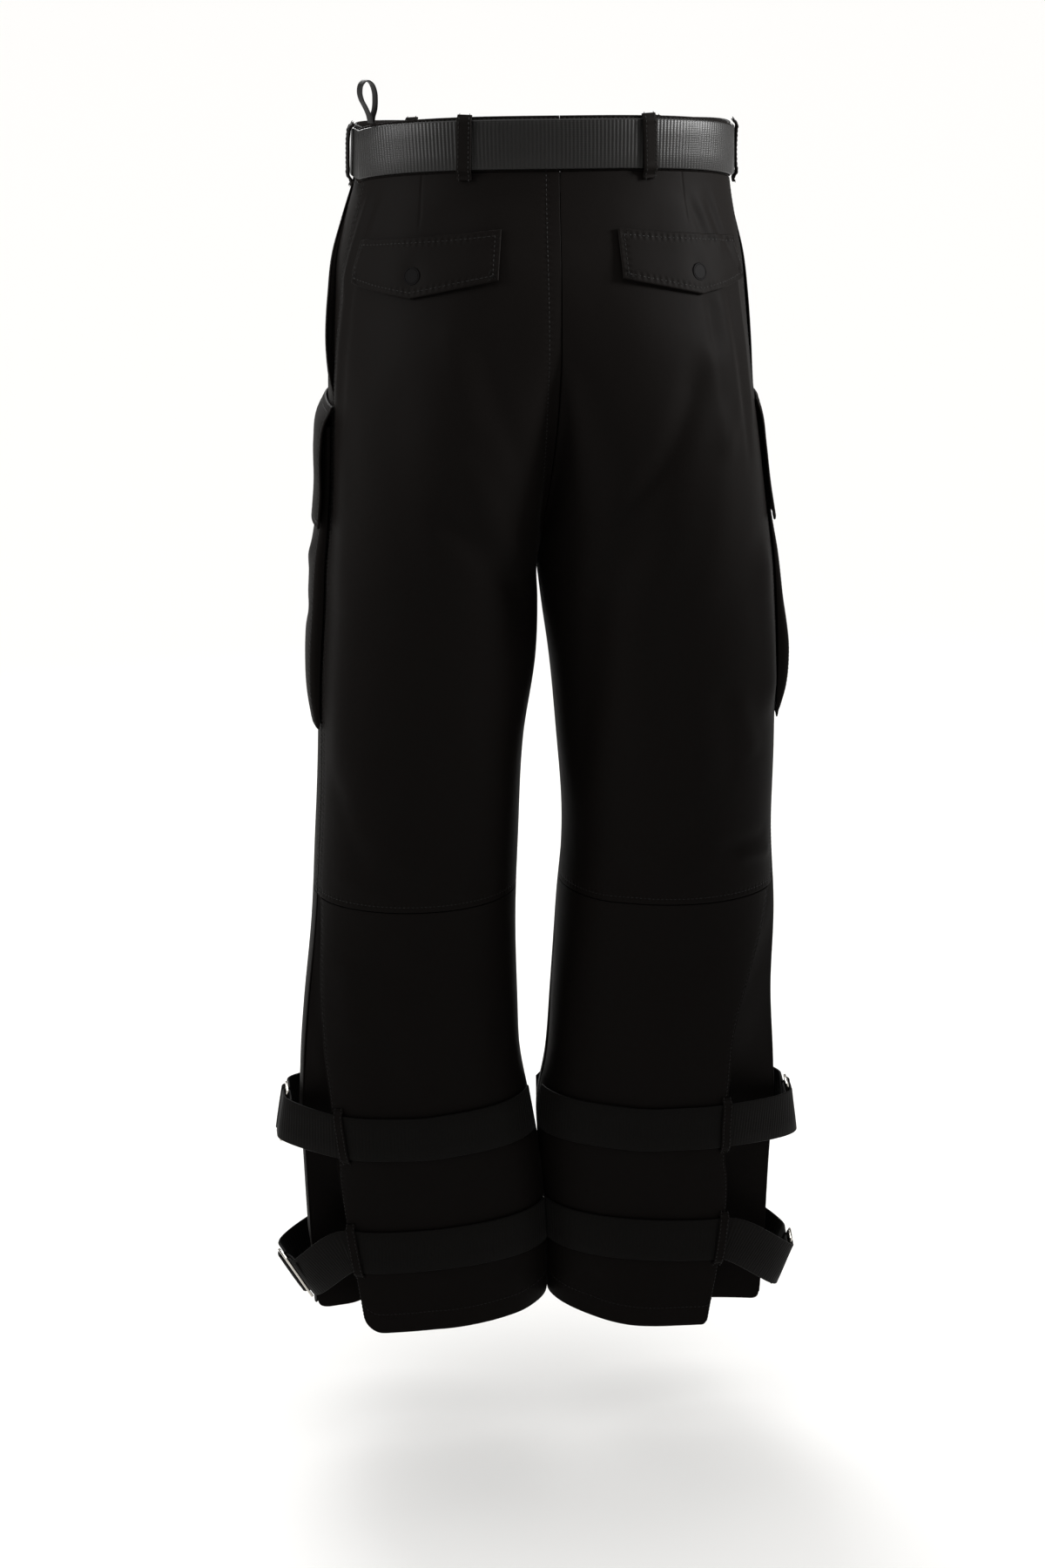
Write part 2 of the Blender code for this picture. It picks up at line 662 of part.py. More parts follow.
def slide(name, middle, along, up, inner, rail, gap, thick, finish):
    """A metal slide: three bars along up, joined at their ends. inner is the bars' clear length."""
    up = unit(up - along * np.dot(up, along))
    out = np.cross(along, up)
    half = 1.5 * rail + gap
    xs = (-half, -half + rail, -rail / 2, rail / 2, half - rail, half)
    ys = (-inner / 2 - rail, -inner / 2, inner / 2, inner / 2 + rail)
    points = [
        middle + along * x + up * y + out * h for h in (-thick / 2, thick / 2) for x in xs for y in ys
    ]

    def at(i, j, layer):
        return layer * len(xs) * len(ys) + i * len(ys) + j

    windows = {(1, 1), (3, 1)}
    cells = {(i, j) for i in range(len(xs) - 1) for j in range(len(ys) - 1)} - windows
    faces = []
    for i, j in sorted(cells):
        corners = ((i, j), (i + 1, j), (i + 1, j + 1), (i, j + 1))
        faces.append(tuple(at(*c, 1) for c in corners))
        faces.append(tuple(at(*c, 0) for c in reversed(corners)))
        beside = ((i, j - 1), (i + 1, j), (i, j + 1), (i - 1, j))
        for k, cell in enumerate(beside):
            if cell not in cells:
                a, b = corners[k], corners[(k + 1) % 4]
                faces.append((at(*a, 0), at(*b, 0), at(*b, 1), at(*a, 1)))
    return solid(name, points, faces, finish)


RAIL = 3.2 * MM
SLIDE_GAP = 6.8 * MM
SLIDE_THICK = 2.5 * MM

# A strap's end round a bar of its slide, a row for each station: millimetres along the strap from
# the slide's middle, and out from it. The back length is sewn round the middle bar, with its tail
# underneath; the front length passes round the front bar, with its tail outside.
BACK_END = (
    (-28, -2.8), (-18, -2.8), (-9.7, -2.8), (-6.7, -2.3), (-4.6, -0.1), (-3.1, 2.0), (-1.1, 2.8),
    (1.1, 2.8), (2.7, 2.1), (3.2, 0), (2.7, -2.1), (0.7, -3.4), (-3.5, -4.7), (-10, -5.3),
    (-22, -5.3),
)
FRONT_END = (
    (23, -0.2), (18, 0.2), (14.2, 1.7), (11.5, 2.8), (8.2, 2.8), (6.8, 1.5), (6.7, -1.4),
    (8.1, -3.0), (11, -3.1), (19, -3.1), (26, -3.1),
)

# A slide on its leg, a row each: its middle, how far its top leans out, and the way the strap
# heads there, in degrees from straight forward towards the leg's outer side.
SLIDE_COLUMNS = ("side", "level", "x", "y", "z", "lean", "heading")
SLIDES = (
    (1, 0, 241, 6, -896, -9, -2),
    (-1, 0, 231, 6, -908, -8, 0),
    (1, 1, 233.5, 12, -1058, 30, -4),
    (-1, 1, 226, 12, -1062, 21, -2),
)
# Heights of each strap's middle: at the back inseam, at the keeper and round the front
STRAP_COLUMNS = ("inner_z", "keeper_z", "front_z")
STRAPS = ((-893, -896, -900), (-1007, -1019, -1036))
STRAP_NAMES = ("upper", "lower")


def bend(start, leave, arrive, end, count):
    """Points on a smooth curve between two places, left and reached in the ways given, without its ends."""
    t = np.linspace(0, 1, count + 2)[1:-1, None]
    reach = 0.38 * np.linalg.norm(end - start)
    a, b = start + leave * reach, end - arrive * reach
    return (1 - t) ** 3 * start + 3 * (1 - t) ** 2 * t * a + 3 * (1 - t) * t**2 * b + t**3 * end


def on_leg(side, u, z):
    """A strap's stations on the cloth, and the way up the cloth there."""
    u, z = np.asarray(u, float), np.asarray(z, float)
    lift = LAY + 0.7 * MM + STRAP_THICK / 2
    centres = surface(side, u, z) + normal(side, u, z) * lift
    return centres, surface(side, u, z + 10 * MM) - surface(side, u, z - 10 * MM)


def leg_strap(row):
    place = dict(zip(SLIDE_COLUMNS, row))
    side, level = place["side"], place["level"]
    strap = dict(zip(STRAP_COLUMNS, STRAPS[level]))
    name = f"{STRAP_NAMES[level]}_{side_name(side)}"
    middle = np.array([side * place["x"], place["y"], place["z"]]) * MM
    lean, heading = math.radians(place["lean"]), math.radians(place["heading"])
    along = np.array([side * math.sin(heading), -math.cos(heading), 0])
    up = np.array([side * math.sin(lean), 0, math.cos(lean)])
    up = unit(up - along * np.dot(up, along))
    out = np.cross(along, up)
    out *= np.sign(out[0] * side)
    slide(f"slide_{name}", middle, along, up, STRAP + 2.4 * MM, RAIL, SLIDE_GAP, SLIDE_THICK, "nickel")

    def ends(rows):
        rows = np.array(rows) * MM
        return middle + rows[:, :1] * along + rows[:, 1:] * out

    inner_z, keeper_z = strap["inner_z"] * MM, strap["keeper_z"] * MM
    share = np.linspace(0, 1, LOWER_COLUMNS)[1:]
    share[0] += 0.01
    z = inner_z + (keeper_z - inner_z) * smoothstep(share)
    lying, lying_up = on_leg(side, lower_back_u(side, share, z), z)
    hook = ends(BACK_END)
    free = bend(lying[-1], unit(lying[-1] - lying[-2]), along, hook[0], 3)
    blend = np.linspace(0, 1, 5)[1:-1, None]
    free_up = (1 - blend) * unit(lying_up[-1]) + blend * up
    centres = np.concatenate([lying, free, hook])
    ways = np.concatenate([lying_up, free_up, np.broadcast_to(up, hook.shape)])
    ribbon(f"strap_back_{name}", centres, ways, STRAP, STRAP_THICK, "webbing")

    u = np.linspace(1.3, 1.9, 7)
    lying, lying_up = on_leg(side, u, strap["front_z"] * MM + 0 * u)
    hook = ends(FRONT_END)
    free = bend(hook[-1], along, unit(lying[1] - lying[0]), lying[0], 3)
    free_up = (1 - blend) * up + blend * unit(lying_up[0])
    centres = np.concatenate([hook, free, lying])
    ways = np.concatenate([np.broadcast_to(up, hook.shape), free_up, lying_up])
    ribbon(f"strap_front_{name}", centres, ways, STRAP, STRAP_THICK, "webbing")
    keeper(name, side, gore_edge(side, keeper_z) - 0.032, keeper_z)


# The keeper over a strap, a row for each station: millimetres up from the strap's middle, and out
# from the cloth to the keeper's middle
KEEPER = (
    (29, 1.15), (26, 1.5), (23.5, 4.0), (18, 5.3), (0, 5.5), (-18, 5.3), (-23.5, 4.0),
    (-26, 1.5), (-29, 1.15),
)


def keeper(name, side, u, middle_z):
    rows = np.array(KEEPER) * MM
    at = np.full(len(rows), u)
    z = middle_z + rows[:, 0]
    centres = surface(side, at, z) + normal(side, at, z) * rows[:, 1:]
    across = surface(side, at + 0.01, z) - surface(side, at - 0.01, z)
    ribbon(f"keeper_{name}", centres, across, 9 * MM, 1.4 * MM, "cotton_satin")


def belt_slide():
    lift = 3 * LAY + 2 * BELT_THICK + SLIDE_THICK / 2
    z = rise(2) - BELT_BELOW_TOP - BELT / 2
    middle = raised(1, np.array([[2.0]]), np.array([[z]]), lift).reshape(3)
    along = np.array([1.0, 0, 0])
    up = (surface(1, 2.0, z + 10 * MM) - surface(1, 2.0, z - 10 * MM))[0]
    slide("belt_slide", middle, along, up, BELT + 2.4 * MM, 4 * MM, 12 * MM, SLIDE_THICK, "nickel")


for leg in (1, -1):
    upper_back(leg)
    upper_front(leg)
    hip_facing(leg)
    lower_back(leg)
    lower_front(leg)
    side_gore(leg)
    waistband(leg)
    belt_loops(leg)
    back_flap(leg)
    cargo_pocket(leg)
for row in SLIDES:
    leg_strap(row)
belt()
belt_slide()
hang_loop()
fly()
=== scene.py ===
# %% [markdown]
# # Black cargo trousers, as worn
#
# These trousers are sewn from a black cotton satin: back and front panels down to a seam at the
# knee, lower panels down to the hem, and a wedge folded in at the outer side of each lower leg.
# A webbing belt runs round the waist, and two webbing straps with metal slides run round each
# lower leg. Their solids come from model.glb. This file dresses them with cloth that has folds,
# seams and stitches.
#
# Every piece of cloth is worked out on the same form as its solid, so nothing has to be fitted.

# %% Start from the imported solids
import math

import bmesh
import bpy
import numpy as np
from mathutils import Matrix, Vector


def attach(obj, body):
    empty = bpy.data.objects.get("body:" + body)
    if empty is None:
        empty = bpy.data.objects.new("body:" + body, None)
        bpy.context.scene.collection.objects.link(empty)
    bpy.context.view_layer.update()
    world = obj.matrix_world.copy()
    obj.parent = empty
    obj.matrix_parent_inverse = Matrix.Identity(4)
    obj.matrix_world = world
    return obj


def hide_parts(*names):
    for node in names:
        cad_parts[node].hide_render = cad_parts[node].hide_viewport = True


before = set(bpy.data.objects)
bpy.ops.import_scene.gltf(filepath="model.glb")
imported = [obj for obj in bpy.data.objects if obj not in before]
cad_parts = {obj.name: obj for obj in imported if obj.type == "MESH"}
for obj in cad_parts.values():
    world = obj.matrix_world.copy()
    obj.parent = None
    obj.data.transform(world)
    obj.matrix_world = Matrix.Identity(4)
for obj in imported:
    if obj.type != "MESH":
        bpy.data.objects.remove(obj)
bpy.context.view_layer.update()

MM = 0.001

# %% [markdown]
# ## The camera
#
# The photograph looks at the back of the trousers from a little above and from the wearer's left.
# Its place, tilt and lens follow from four points on the floor, whose distances were estimated. A
# long lens keeps the waist and the hem almost the same size.

# %% Camera
CAMERA_PLACE = (0.2839, 2.7505, 0.3006)
CAMERA_TURN = math.radians(5.5)  # round to the wearer's left from straight behind
CAMERA_TILT = math.radians(17.83)  # down
CAMERA_LENS = 73.98  # mm, where the picture's longer side takes 36 mm


def placed(name, data):
    """A new object in the scene, which shows the data."""
    made = bpy.data.objects.new(name, data)
    bpy.context.scene.collection.objects.link(made)
    return made


camera_data = bpy.data.cameras.new("camera")
camera_data.lens = CAMERA_LENS
camera_data.sensor_width = 36.0
camera = placed("camera", camera_data)
looking = Vector((
    -math.sin(CAMERA_TURN) * math.cos(CAMERA_TILT),
    -math.cos(CAMERA_TURN) * math.cos(CAMERA_TILT),
    -math.sin(CAMERA_TILT),
))
camera.location = CAMERA_PLACE
camera.rotation_euler = looking.to_track_quat("-Z", "Y").to_euler()
bpy.context.scene.camera = camera
print("camera at", CAMERA_PLACE, "lens", camera_data.lens)

# %% [markdown]
# ## The form of the cloth
#
# A worn leg is a squared oval whose middle, width and depth change from the waist to the hem. One
# row of the table gives one section, and a smooth curve runs between the rows. A place on the
# cloth is (side, u, z): `side` is +1 on the wearer's left, `u` runs once round the leg from the
# back seam (0) past the side seam (1) to the front seam (2), and `z` is the height. With such a
# map, a pocket, a crease or a row of stitches is placed by numbers that mean something on the
# cloth, and the same functions bend it round the leg.

# %% The sections, in millimetres
SECTION_COLUMNS = ("z", "mid", "inner", "peak", "left", "right", "back", "front", "square")
SECTIONS = (
    (25, 0, -160, 0.500, 160, 156, 116, 104, 2.2),
    (0, 0, -160, 0.500, 161, 157, 117, 105, 2.2),
    (-45, 0, -156, 0.497, 163, 158, 122, 109, 2.2),
    (-80, 0, -140, 0.485, 172, 164, 130, 114, 2.2),
    (-110, 0, -120, 0.475, 179, 170, 138, 117, 2.2),
    (-145, 0, -97, 0.465, 182, 174, 144, 118, 2.2),
    (-180, 0, -76, 0.460, 185, 177, 147, 118, 2.3),
    (-215, 0.5, -56, 0.465, 187, 180, 148, 117, 2.3),
    (-250, 1.5, -36, 0.475, 188, 184, 147, 115, 2.3),
    (-300, 4, -16, 0.485, 189, 190, 141, 111, 2.3),
    (-345, 7, -5, 0.495, 192, 196, 131, 107, 2.3),
    (-375, 8, 0.15, 0.500, 195, 200, 124, 105, 2.3),
    (-410, 5.5, 2.5, 0.500, 197, 203, 117, 104, 2.3),
    (-460, 2.5, 7, 0.500, 200, 206, 111, 102, 2.3),
    (-535, 4, 15, 0.500, 202, 206, 103, 99, 2.3),
    (-620, 3.5, 21, 0.500, 206, 206, 94, 96, 2.3),
    (-705, 7, 20, 0.500, 211, 212, 84, 94, 2.3),
    (-785, 8.5, 16, 0.540, 219, 211, 82, 92, 2.3),
    (-850, 9, 11.5, 0.570, 224, 214, 81, 91, 2.3),
    (-900, 8.5, 2.6, 0.590, 226, 215, 80, 90, 2.3),
    (-935, 5, 0.3, 0.610, 224, 213, 78, 89, 2.3),
    (-1010, -1.5, 0.3, 0.650, 220, 211, 74, 87, 2.3),
    (-1105, -4, 0.3, 0.680, 215, 206, 69, 85, 2.3),
)
print("sections:", len(SECTIONS), "from", SECTIONS[0][0], "to", SECTIONS[-1][0], "mm")

# %% The wedge and the largest folds
# left, right: u of the back panel's free edge. depth: how far the wedge is folded in
GORE_COLUMNS = ("z", "left", "right", "depth")
GORE = (
    (-677, 0.960, 0.930, 3),
    (-755, 0.920, 0.815, 9),
    (-810, 0.880, 0.755, 17),
    (-860, 0.840, 0.735, 26),
    (-985, 0.800, 0.730, 44),
    (-1100, 0.755, 0.685, 54),
)

# A soft ridge, or a trough where height is below 0, from one place on the cloth to another
FOLD_COLUMNS = ("side", "u0", "z0", "u1", "z1", "width", "height")
FOLDS = (
    (-1, 0.62, -175, 0.64, -260, 16, 4),
    (-1, 0.52, -190, 0.30, -330, 16, -6),
    (-1, 0.40, -320, 0.20, -560, 20, -5),
    (1, 0.45, -300, 0.22, -420, 18, -4),
    (1, 0.86, -260, 0.84, -560, 22, 4),
    (-1, 0.86, -360, 0.90, -500, 18, 5),
    (1, 0.60, -590, 0.30, -660, 18, -3),
    (-1, 0.62, -600, 0.35, -670, 18, -3),
    (1, 0.55, -760, 0.50, -980, 24, 3),
    (-1, 0.50, -760, 0.45, -960, 24, 3),
    (1, 1.74, -230, 1.90, -370, 18, -3),
    (-1, 1.72, -220, 1.88, -360, 18, -3),
    (1, 1.40, -600, 1.75, -680, 16, -4),
    (-1, 1.35, -590, 1.70, -670, 16, -4),
    (1, 1.45, -760, 1.70, -830, 16, -3),
    (-1, 1.42, -770, 1.72, -850, 16, -3),
)
print("large folds:", len(FOLDS))

# %% Sizes, in metres
WALL = 1.5 * MM  # a panel of cloth
SEAM = 0.3 * MM  # air between two panels at a seam
LAY = 0.8 * MM  # air between a panel and what lies on it
PLY = 2.2 * MM  # a flap or band of two plies
WAISTBAND = 44 * MM
BACK_RISE = 17 * MM
FRONT_DROP = 12 * MM
KNEE_Z = -0.677
HEM_INNER_Z = -1.086
HEM_OUTER_Z = {1: -1.096, -1: -1.102}
CROTCH_Z = -0.375
SIDE_SEAM_TURN = 0.25  # radians that the side seam lies behind the leg's widest point
GIRTH = 300 * MM  # half a leg's girth, which turns u into a length
EPS = SEAM / 2 / GIRTH  # half a seam, as a share of u
TINY = 1e-9  # keeps a division from failing
SIDES = {1: "left", -1: "right"}


def table(columns, rows):
    """A dictionary of arrays, one for each named column."""
    return dict(zip(columns, np.array(rows, float).T))


def curve(knots, values, at):
    """A smooth curve through the knots, which may fall or rise."""
    order = np.argsort(knots)
    knots, values = np.asarray(knots, float)[order], np.asarray(values, float)[order]
    slopes = np.gradient(values, knots)
    at = np.clip(at, knots[0], knots[-1])
    i = np.clip(np.searchsorted(knots, at) - 1, 0, len(knots) - 2)
    step = knots[i + 1] - knots[i]
    t = (at - knots[i]) / step
    rise = values[i] * (2 * t**3 - 3 * t**2 + 1) + values[i + 1] * (3 * t**2 - 2 * t**3)
    return rise + step * (slopes[i] * (t**3 - 2 * t**2 + t) + slopes[i + 1] * (t**3 - t**2))


def unit(way):
    return way / np.linalg.norm(way)


def smoothstep(t):
    t = np.clip(t, 0, 1)
    return t * t * (3 - 2 * t)


SECTION = table(SECTION_COLUMNS, SECTIONS)
WEDGE = table(GORE_COLUMNS, GORE)
print("waist at", curve(SECTION["z"], SECTION["left"], 0), "mm from the middle")

# %% [markdown]
# A fold is a bell-shaped ridge along a line on the cloth. The same function reads the table of
# large folds, which the solids have, and a longer table of small creases, which only this file has.

# %% Folds along a line
FADE = 0.3  # share of a fold's length over which it fades, half of it past each end


def fold_height(rows, side, u, z):
    """How far the cloth stands out from its outline at each place."""
    height = np.zeros_like(u)
    for row in rows:
        fold = dict(zip(FOLD_COLUMNS, row))
        if fold["side"] != side:
            continue
        start = np.array([fold["u0"] * GIRTH, fold["z0"] * MM])
        along = np.array([fold["u1"] * GIRTH, fold["z1"] * MM]) - start
        length = np.hypot(*along)
        along = along / length
        du, dz = u * GIRTH - start[0], z - start[1]
        run = (du * along[0] + dz * along[1]) / length
        off = np.abs(du * along[1] - dz * along[0]) / (fold["width"] * MM)
        ends = smoothstep(run / FADE + 0.5) * smoothstep((1 - run) / FADE + 0.5)
        height += fold["height"] * MM * np.exp(-off * off) * ends
    return height


at_fold = fold_height(FOLDS, -1, np.array([0.52]), np.array([-0.19]))
print("one trough, mm:", round(float(at_fold[0]) / MM, 2))

# %% From (side, u, z) to a point
def read(name, z):
    """One column of the outline at each height, in metres (peak and square have no unit)."""
    measure = 1 if name in ("peak", "square") else MM
    return curve(SECTION["z"] * MM, SECTION[name], z) * measure


def turn(centre, reach_in, reach_out, back, front, power, angle):
    """A point of the squared oval at each angle, as a distance from the mid-plane and a depth."""
    c, s = np.cos(angle), np.sin(angle)
    reach = np.where(c < 0, reach_in, reach_out)
    depth = np.where(s < 0, front, back)
    far = centre + reach * np.sign(c) * np.abs(c) ** power
    return far, depth * np.sign(s) * np.abs(s) ** power


STEPS = np.linspace(0, 1, 49)  # places along a half's angle, between which u is read


def half_outline(side, z, is_back):
    """The oval's shape at each height, its first and last angle, and lengths along that half."""
    power = 2 / read("square", z)
    outer = read(SIDES[side], z) - side * read("mid", z)
    inner = read("inner", z)
    centre = inner + read("peak", z) * (outer - inner)
    shape = (centre, centre - inner, outer - centre, read("back", z), read("front", z), power)
    share = np.clip((centre - np.maximum(SEAM / 2, inner)) / (centre - inner), 0, 1)
    first = math.pi - np.arccos(share ** (1 / power))
    a0 = np.where(is_back, first, SIDE_SEAM_TURN)
    a1 = np.where(is_back, SIDE_SEAM_TURN, -first)
    angles = a0[:, None] + (a1 - a0)[:, None] * STEPS
    far, deep = turn(*[v[:, None] for v in shape], angles)
    run = np.cumsum(np.hypot(np.diff(far, axis=1), np.diff(deep, axis=1)), axis=1)
    return shape, a0, a1, np.concatenate([np.zeros((len(z), 1)), run], axis=1)


# Close above the crotch the seam climbs steeply, so a half gets shorter at once and u jumps there.
# A fold would get a kink. Its place is read from lengths that change evenly with the height.
EVENED = 24  # heights to each side, 2.5 mm apart
LENGTH_Z = np.linspace(0.03, -1.12, 461)
STRETCH = {}
for side in (1, -1):
    for is_back in (True, False):
        lengths = half_outline(side, LENGTH_Z, np.full(len(LENGTH_Z), is_back))[3][:, -1]
        window = np.hanning(2 * EVENED + 1)
        evened = np.convolve(np.pad(lengths, EVENED, mode="edge"), window / window.sum(), "valid")
        STRETCH[side, is_back] = lengths / evened


def fold_u(side, u, z):
    """Where a fold's table finds the place u."""
    back, front = (np.interp(-z, -LENGTH_Z, STRETCH[side, is_back]) for is_back in (True, False))
    return 1 + (u - 1) * np.where(u <= 1, back, front)


def surface(side, u, z):
    """The outside of the cloth at each (u, z), shape (n, 3). u may pass a little beyond 0 and 2."""
    u, z = np.atleast_1d(np.asarray(u, float)), np.atleast_1d(np.asarray(z, float))
    joined = z > CROTCH_Z
    mirrored = joined & ((u < 0) | (u > 2))
    wrapped = np.where(u < 0, np.where(joined, -u, u + 2), u)
    wrapped = np.where(u > 2, np.where(joined, 4 - u, u - 2), wrapped)
    is_back = wrapped <= 1
    shape, a0, a1, run = half_outline(side, z, is_back)
    wanted = np.where(is_back, wrapped, wrapped - 1) * run[:, -1]
    i = np.clip((run < wanted[:, None]).sum(axis=1) - 1, 0, len(STEPS) - 2)
    row = np.arange(len(u))
    between = (wanted - run[row, i]) / np.maximum(run[row, i + 1] - run[row, i], TINY)
    angle = a0 + (a1 - a0) * (STEPS[i] + between * (STEPS[1] - STEPS[0]))
    far, deep = turn(*shape, angle)
    out = np.stack([far - shape[0], deep], axis=1)
    out /= np.maximum(np.linalg.norm(out, axis=1), TINY)[:, None]
    height = fold_height(FOLDS, side, fold_u(side, wrapped, z), z)
    start, mid = np.maximum(SEAM / 2, read("inner", z)), read("mid", z)
    far = np.maximum(far + out[:, 0] * height, start * 0.999)
    far = np.where(mirrored, -far, far)
    return np.stack([mid + side * far, deep + out[:, 1] * height, z], axis=1)


def normal(side, u, z, place=surface):
    """The outward direction of the cloth at each place."""
    u, z = np.atleast_1d(np.asarray(u, float)), np.atleast_1d(np.asarray(z, float))
    du, dz = 0.02, 4 * MM
    across = place(side, u + du, z) - place(side, u - du, z)
    down = place(side, u, z - dz) - place(side, u, z + dz)
    out = np.cross(across, down) * side
    return out / np.linalg.norm(out, axis=1)[:, None]


RISE_CURVE = 2.6  # the waist rises little near the side seam and most towards the back


def rise(u):
    """The waist's height above its sides."""
    back = BACK_RISE * (1 - np.clip(u, 0, 1) ** RISE_CURVE)
    return back - FRONT_DROP * (1 - np.cos(np.pi * np.clip(u - 1, 0, 1))) / 2


def gore_edge(side, z):
    """u of the lower back panel's outer edge."""
    return curve(WEDGE["z"] * MM, WEDGE[SIDES[side]], z)


FORWARD_DEPTH = 20 * MM  # a wedge this deep is folded straight forward
DEEPEST = 0.42  # t where the wedge lies deepest
RETURN = 0.3  # t where it starts to come out again


def gore(side, t, z):
    """The wedge: t runs from the back panel's edge (0), in behind it, to the side seam (1)."""
    t, z = np.atleast_1d(np.asarray(t, float)), np.atleast_1d(np.asarray(z, float))
    edge, seam = gore_edge(side, z), np.ones_like(z)
    depth = curve(WEDGE["z"] * MM, WEDGE["depth"], z)[:, None] * MM
    out = normal(side, edge, z)
    under = WALL + SEAM
    start = surface(side, edge, z) - out * under
    end = surface(side, seam, z) - normal(side, seam, z) * WALL / 2
    forward = smoothstep(depth / FORWARD_DEPTH)
    inward = np.array([0, -1, 0]) * forward - out * (1 - forward)
    sunk = np.sin(np.pi / 2 * np.clip(t / DEEPEST, 0, 1))[:, None]
    along = smoothstep((t - RETURN) / (1 - RETURN))[:, None]
    return start + inward * depth * sunk * (1 - along) + (end - start) * along


print("side seam at the knee:", surface(1, 1.0, KNEE_Z)[0].round(3))

# %% [markdown]
# ## Cloth, webbing and metal
#
# Each material is named for the real one. Colours are written as sRGB hex values and turned to
# linear by one function. Sizes of patterns come from the real thing in millimetres.

# %% Helpers for materials
def linear(code):
    """Linear red, green, blue and alpha from an sRGB hex colour."""
    parts = [int(code[i:i + 2], 16) / 255 for i in (1, 3, 5)]
    return (*[c / 12.92 if c <= 0.04045 else ((c + 0.055) / 1.055) ** 2.4 for c in parts], 1.0)


def add(tree, kind, inputs=(), **settings):
    """Adds a node. inputs gives sockets a value, or another node's output to be linked."""
    made = tree.nodes.new(kind)
    for name, value in settings.items():
        setattr(made, name, value)
    for socket, value in dict(inputs).items():
        if isinstance(value, bpy.types.NodeSocket):
            tree.links.new(value, made.inputs[socket])
        else:
            made.inputs[socket].default_value = value
    return made


def finish(name, colour, roughness, **more):
    """A material, and its tree and shader. Constants stay on the shader's own sockets."""
    made = bpy.data.materials.new(name)
    made.use_nodes = True
    tree = made.node_tree
    shader = tree.nodes["Principled BSDF"]
    values = {"Base Color": linear(colour), "Roughness": roughness, **more}
    for socket, value in values.items():
        shader.inputs[socket].default_value = value
    return made, tree, shader


DYED_BLACK = "#0a0807"
print("black cotton, linear:", [round(c, 4) for c in linear(DYED_BLACK)[:3]])

# %% [markdown]
# The cloth is a cotton satin, piece-dyed a deep black. Cotton's IOR is 1.46, but so dark a cloth
# shows almost no highlights, so its specular level is far below a smooth surface's and only a
# trace of sheen lies on the edges of the form. The diagonal of the weave is 0.5 mm on the real
# cloth and 1.5 mm here, since a finer one can't be seen in the picture. A stitched row pulls the
# two plies together, so the cloth ripples beside it: two attributes on each piece say how far the
# nearest row is, and how far along it a place lies.

# %% Cotton satin
WEAVE = 1.5 * MM
WEAVE_DEPTH = 0.03 * MM
RIPPLE = 5.5 * MM  # one ripple beside a stitched row
RIPPLE_REACH = 5 * MM
RIPPLE_DEPTH = 0.16 * MM
HANDLING = 28.0  # soft dents from wear, so many to a metre
HANDLING_DEPTH = 0.5 * MM
WAVE_UNIT = math.pi / 10  # the wave texture repeats after this much at scale 1

COTTON, tree, shader = finish(
    "cotton satin, piece-dyed black", DYED_BLACK, 0.62,
    **{"Specular IOR Level": 0.03, "Sheen Weight": 0.01, "Sheen Roughness": 0.3, "IOR": 1.46},
)
shader.inputs["Sheen Tint"].default_value = linear("#d8d2cd")
flat = add(tree, "ShaderNodeUVMap", uv_map="flat")
weave = add(
    tree, "ShaderNodeTexWave", {"Vector": flat.outputs[0], "Scale": 2 * WAVE_UNIT / WEAVE},
    bands_direction="DIAGONAL",
)
off = add(tree, "ShaderNodeAttribute", attribute_name="row_off")
run = add(tree, "ShaderNodeAttribute", attribute_name="row_run")
near = add(
    tree, "ShaderNodeMapRange",
    {"Value": off.outputs["Fac"], "From Max": RIPPLE_REACH, "To Min": 1.0, "To Max": 0.0},
    interpolation_type="SMOOTHSTEP",
)
phase = add(
    tree, "ShaderNodeMath", {0: run.outputs["Fac"], 1: 2 * math.pi / RIPPLE}, operation="MULTIPLY"
)
ripple = add(tree, "ShaderNodeMath", {0: phase.outputs[0]}, operation="SINE")
puckers = add(
    tree, "ShaderNodeMath", {0: ripple.outputs[0], 1: near.outputs[0]}, operation="MULTIPLY"
)
dents = add(
    tree, "ShaderNodeTexNoise", {"Vector": flat.outputs[0], "Scale": HANDLING, "Detail": 3.0}
)
height = 0.0
for pattern, depth in ((puckers, RIPPLE_DEPTH), (dents, HANDLING_DEPTH), (weave, WEAVE_DEPTH)):
    wave = pattern.outputs["Value" if pattern == puckers else "Fac"]
    summed = add(tree, "ShaderNodeMath", {0: wave, 1: depth, 2: height}, operation="MULTIPLY_ADD")
    height = summed.outputs[0]
bump = add(tree, "ShaderNodeBump", {"Height": height, "Distance": 1.0})
tree.links.new(bump.outputs[0], shader.inputs["Normal"])
print(COTTON.name, "nodes:", len(tree.nodes))

# %% [markdown]
# The belt and the leg straps are woven polyester webbing. Its ribs run across the strap, so they
# are in the mesh, and the material only adds the fine yarns between the ribs. The sewing thread is
# polyester too, a little shinier than the cloth, and dyed to match it. The belt's webbing has
# flat, shiny yarns, and the straps' is dull. The hang loop is a satin ribbon, and the zip's tape a
# plain knit.

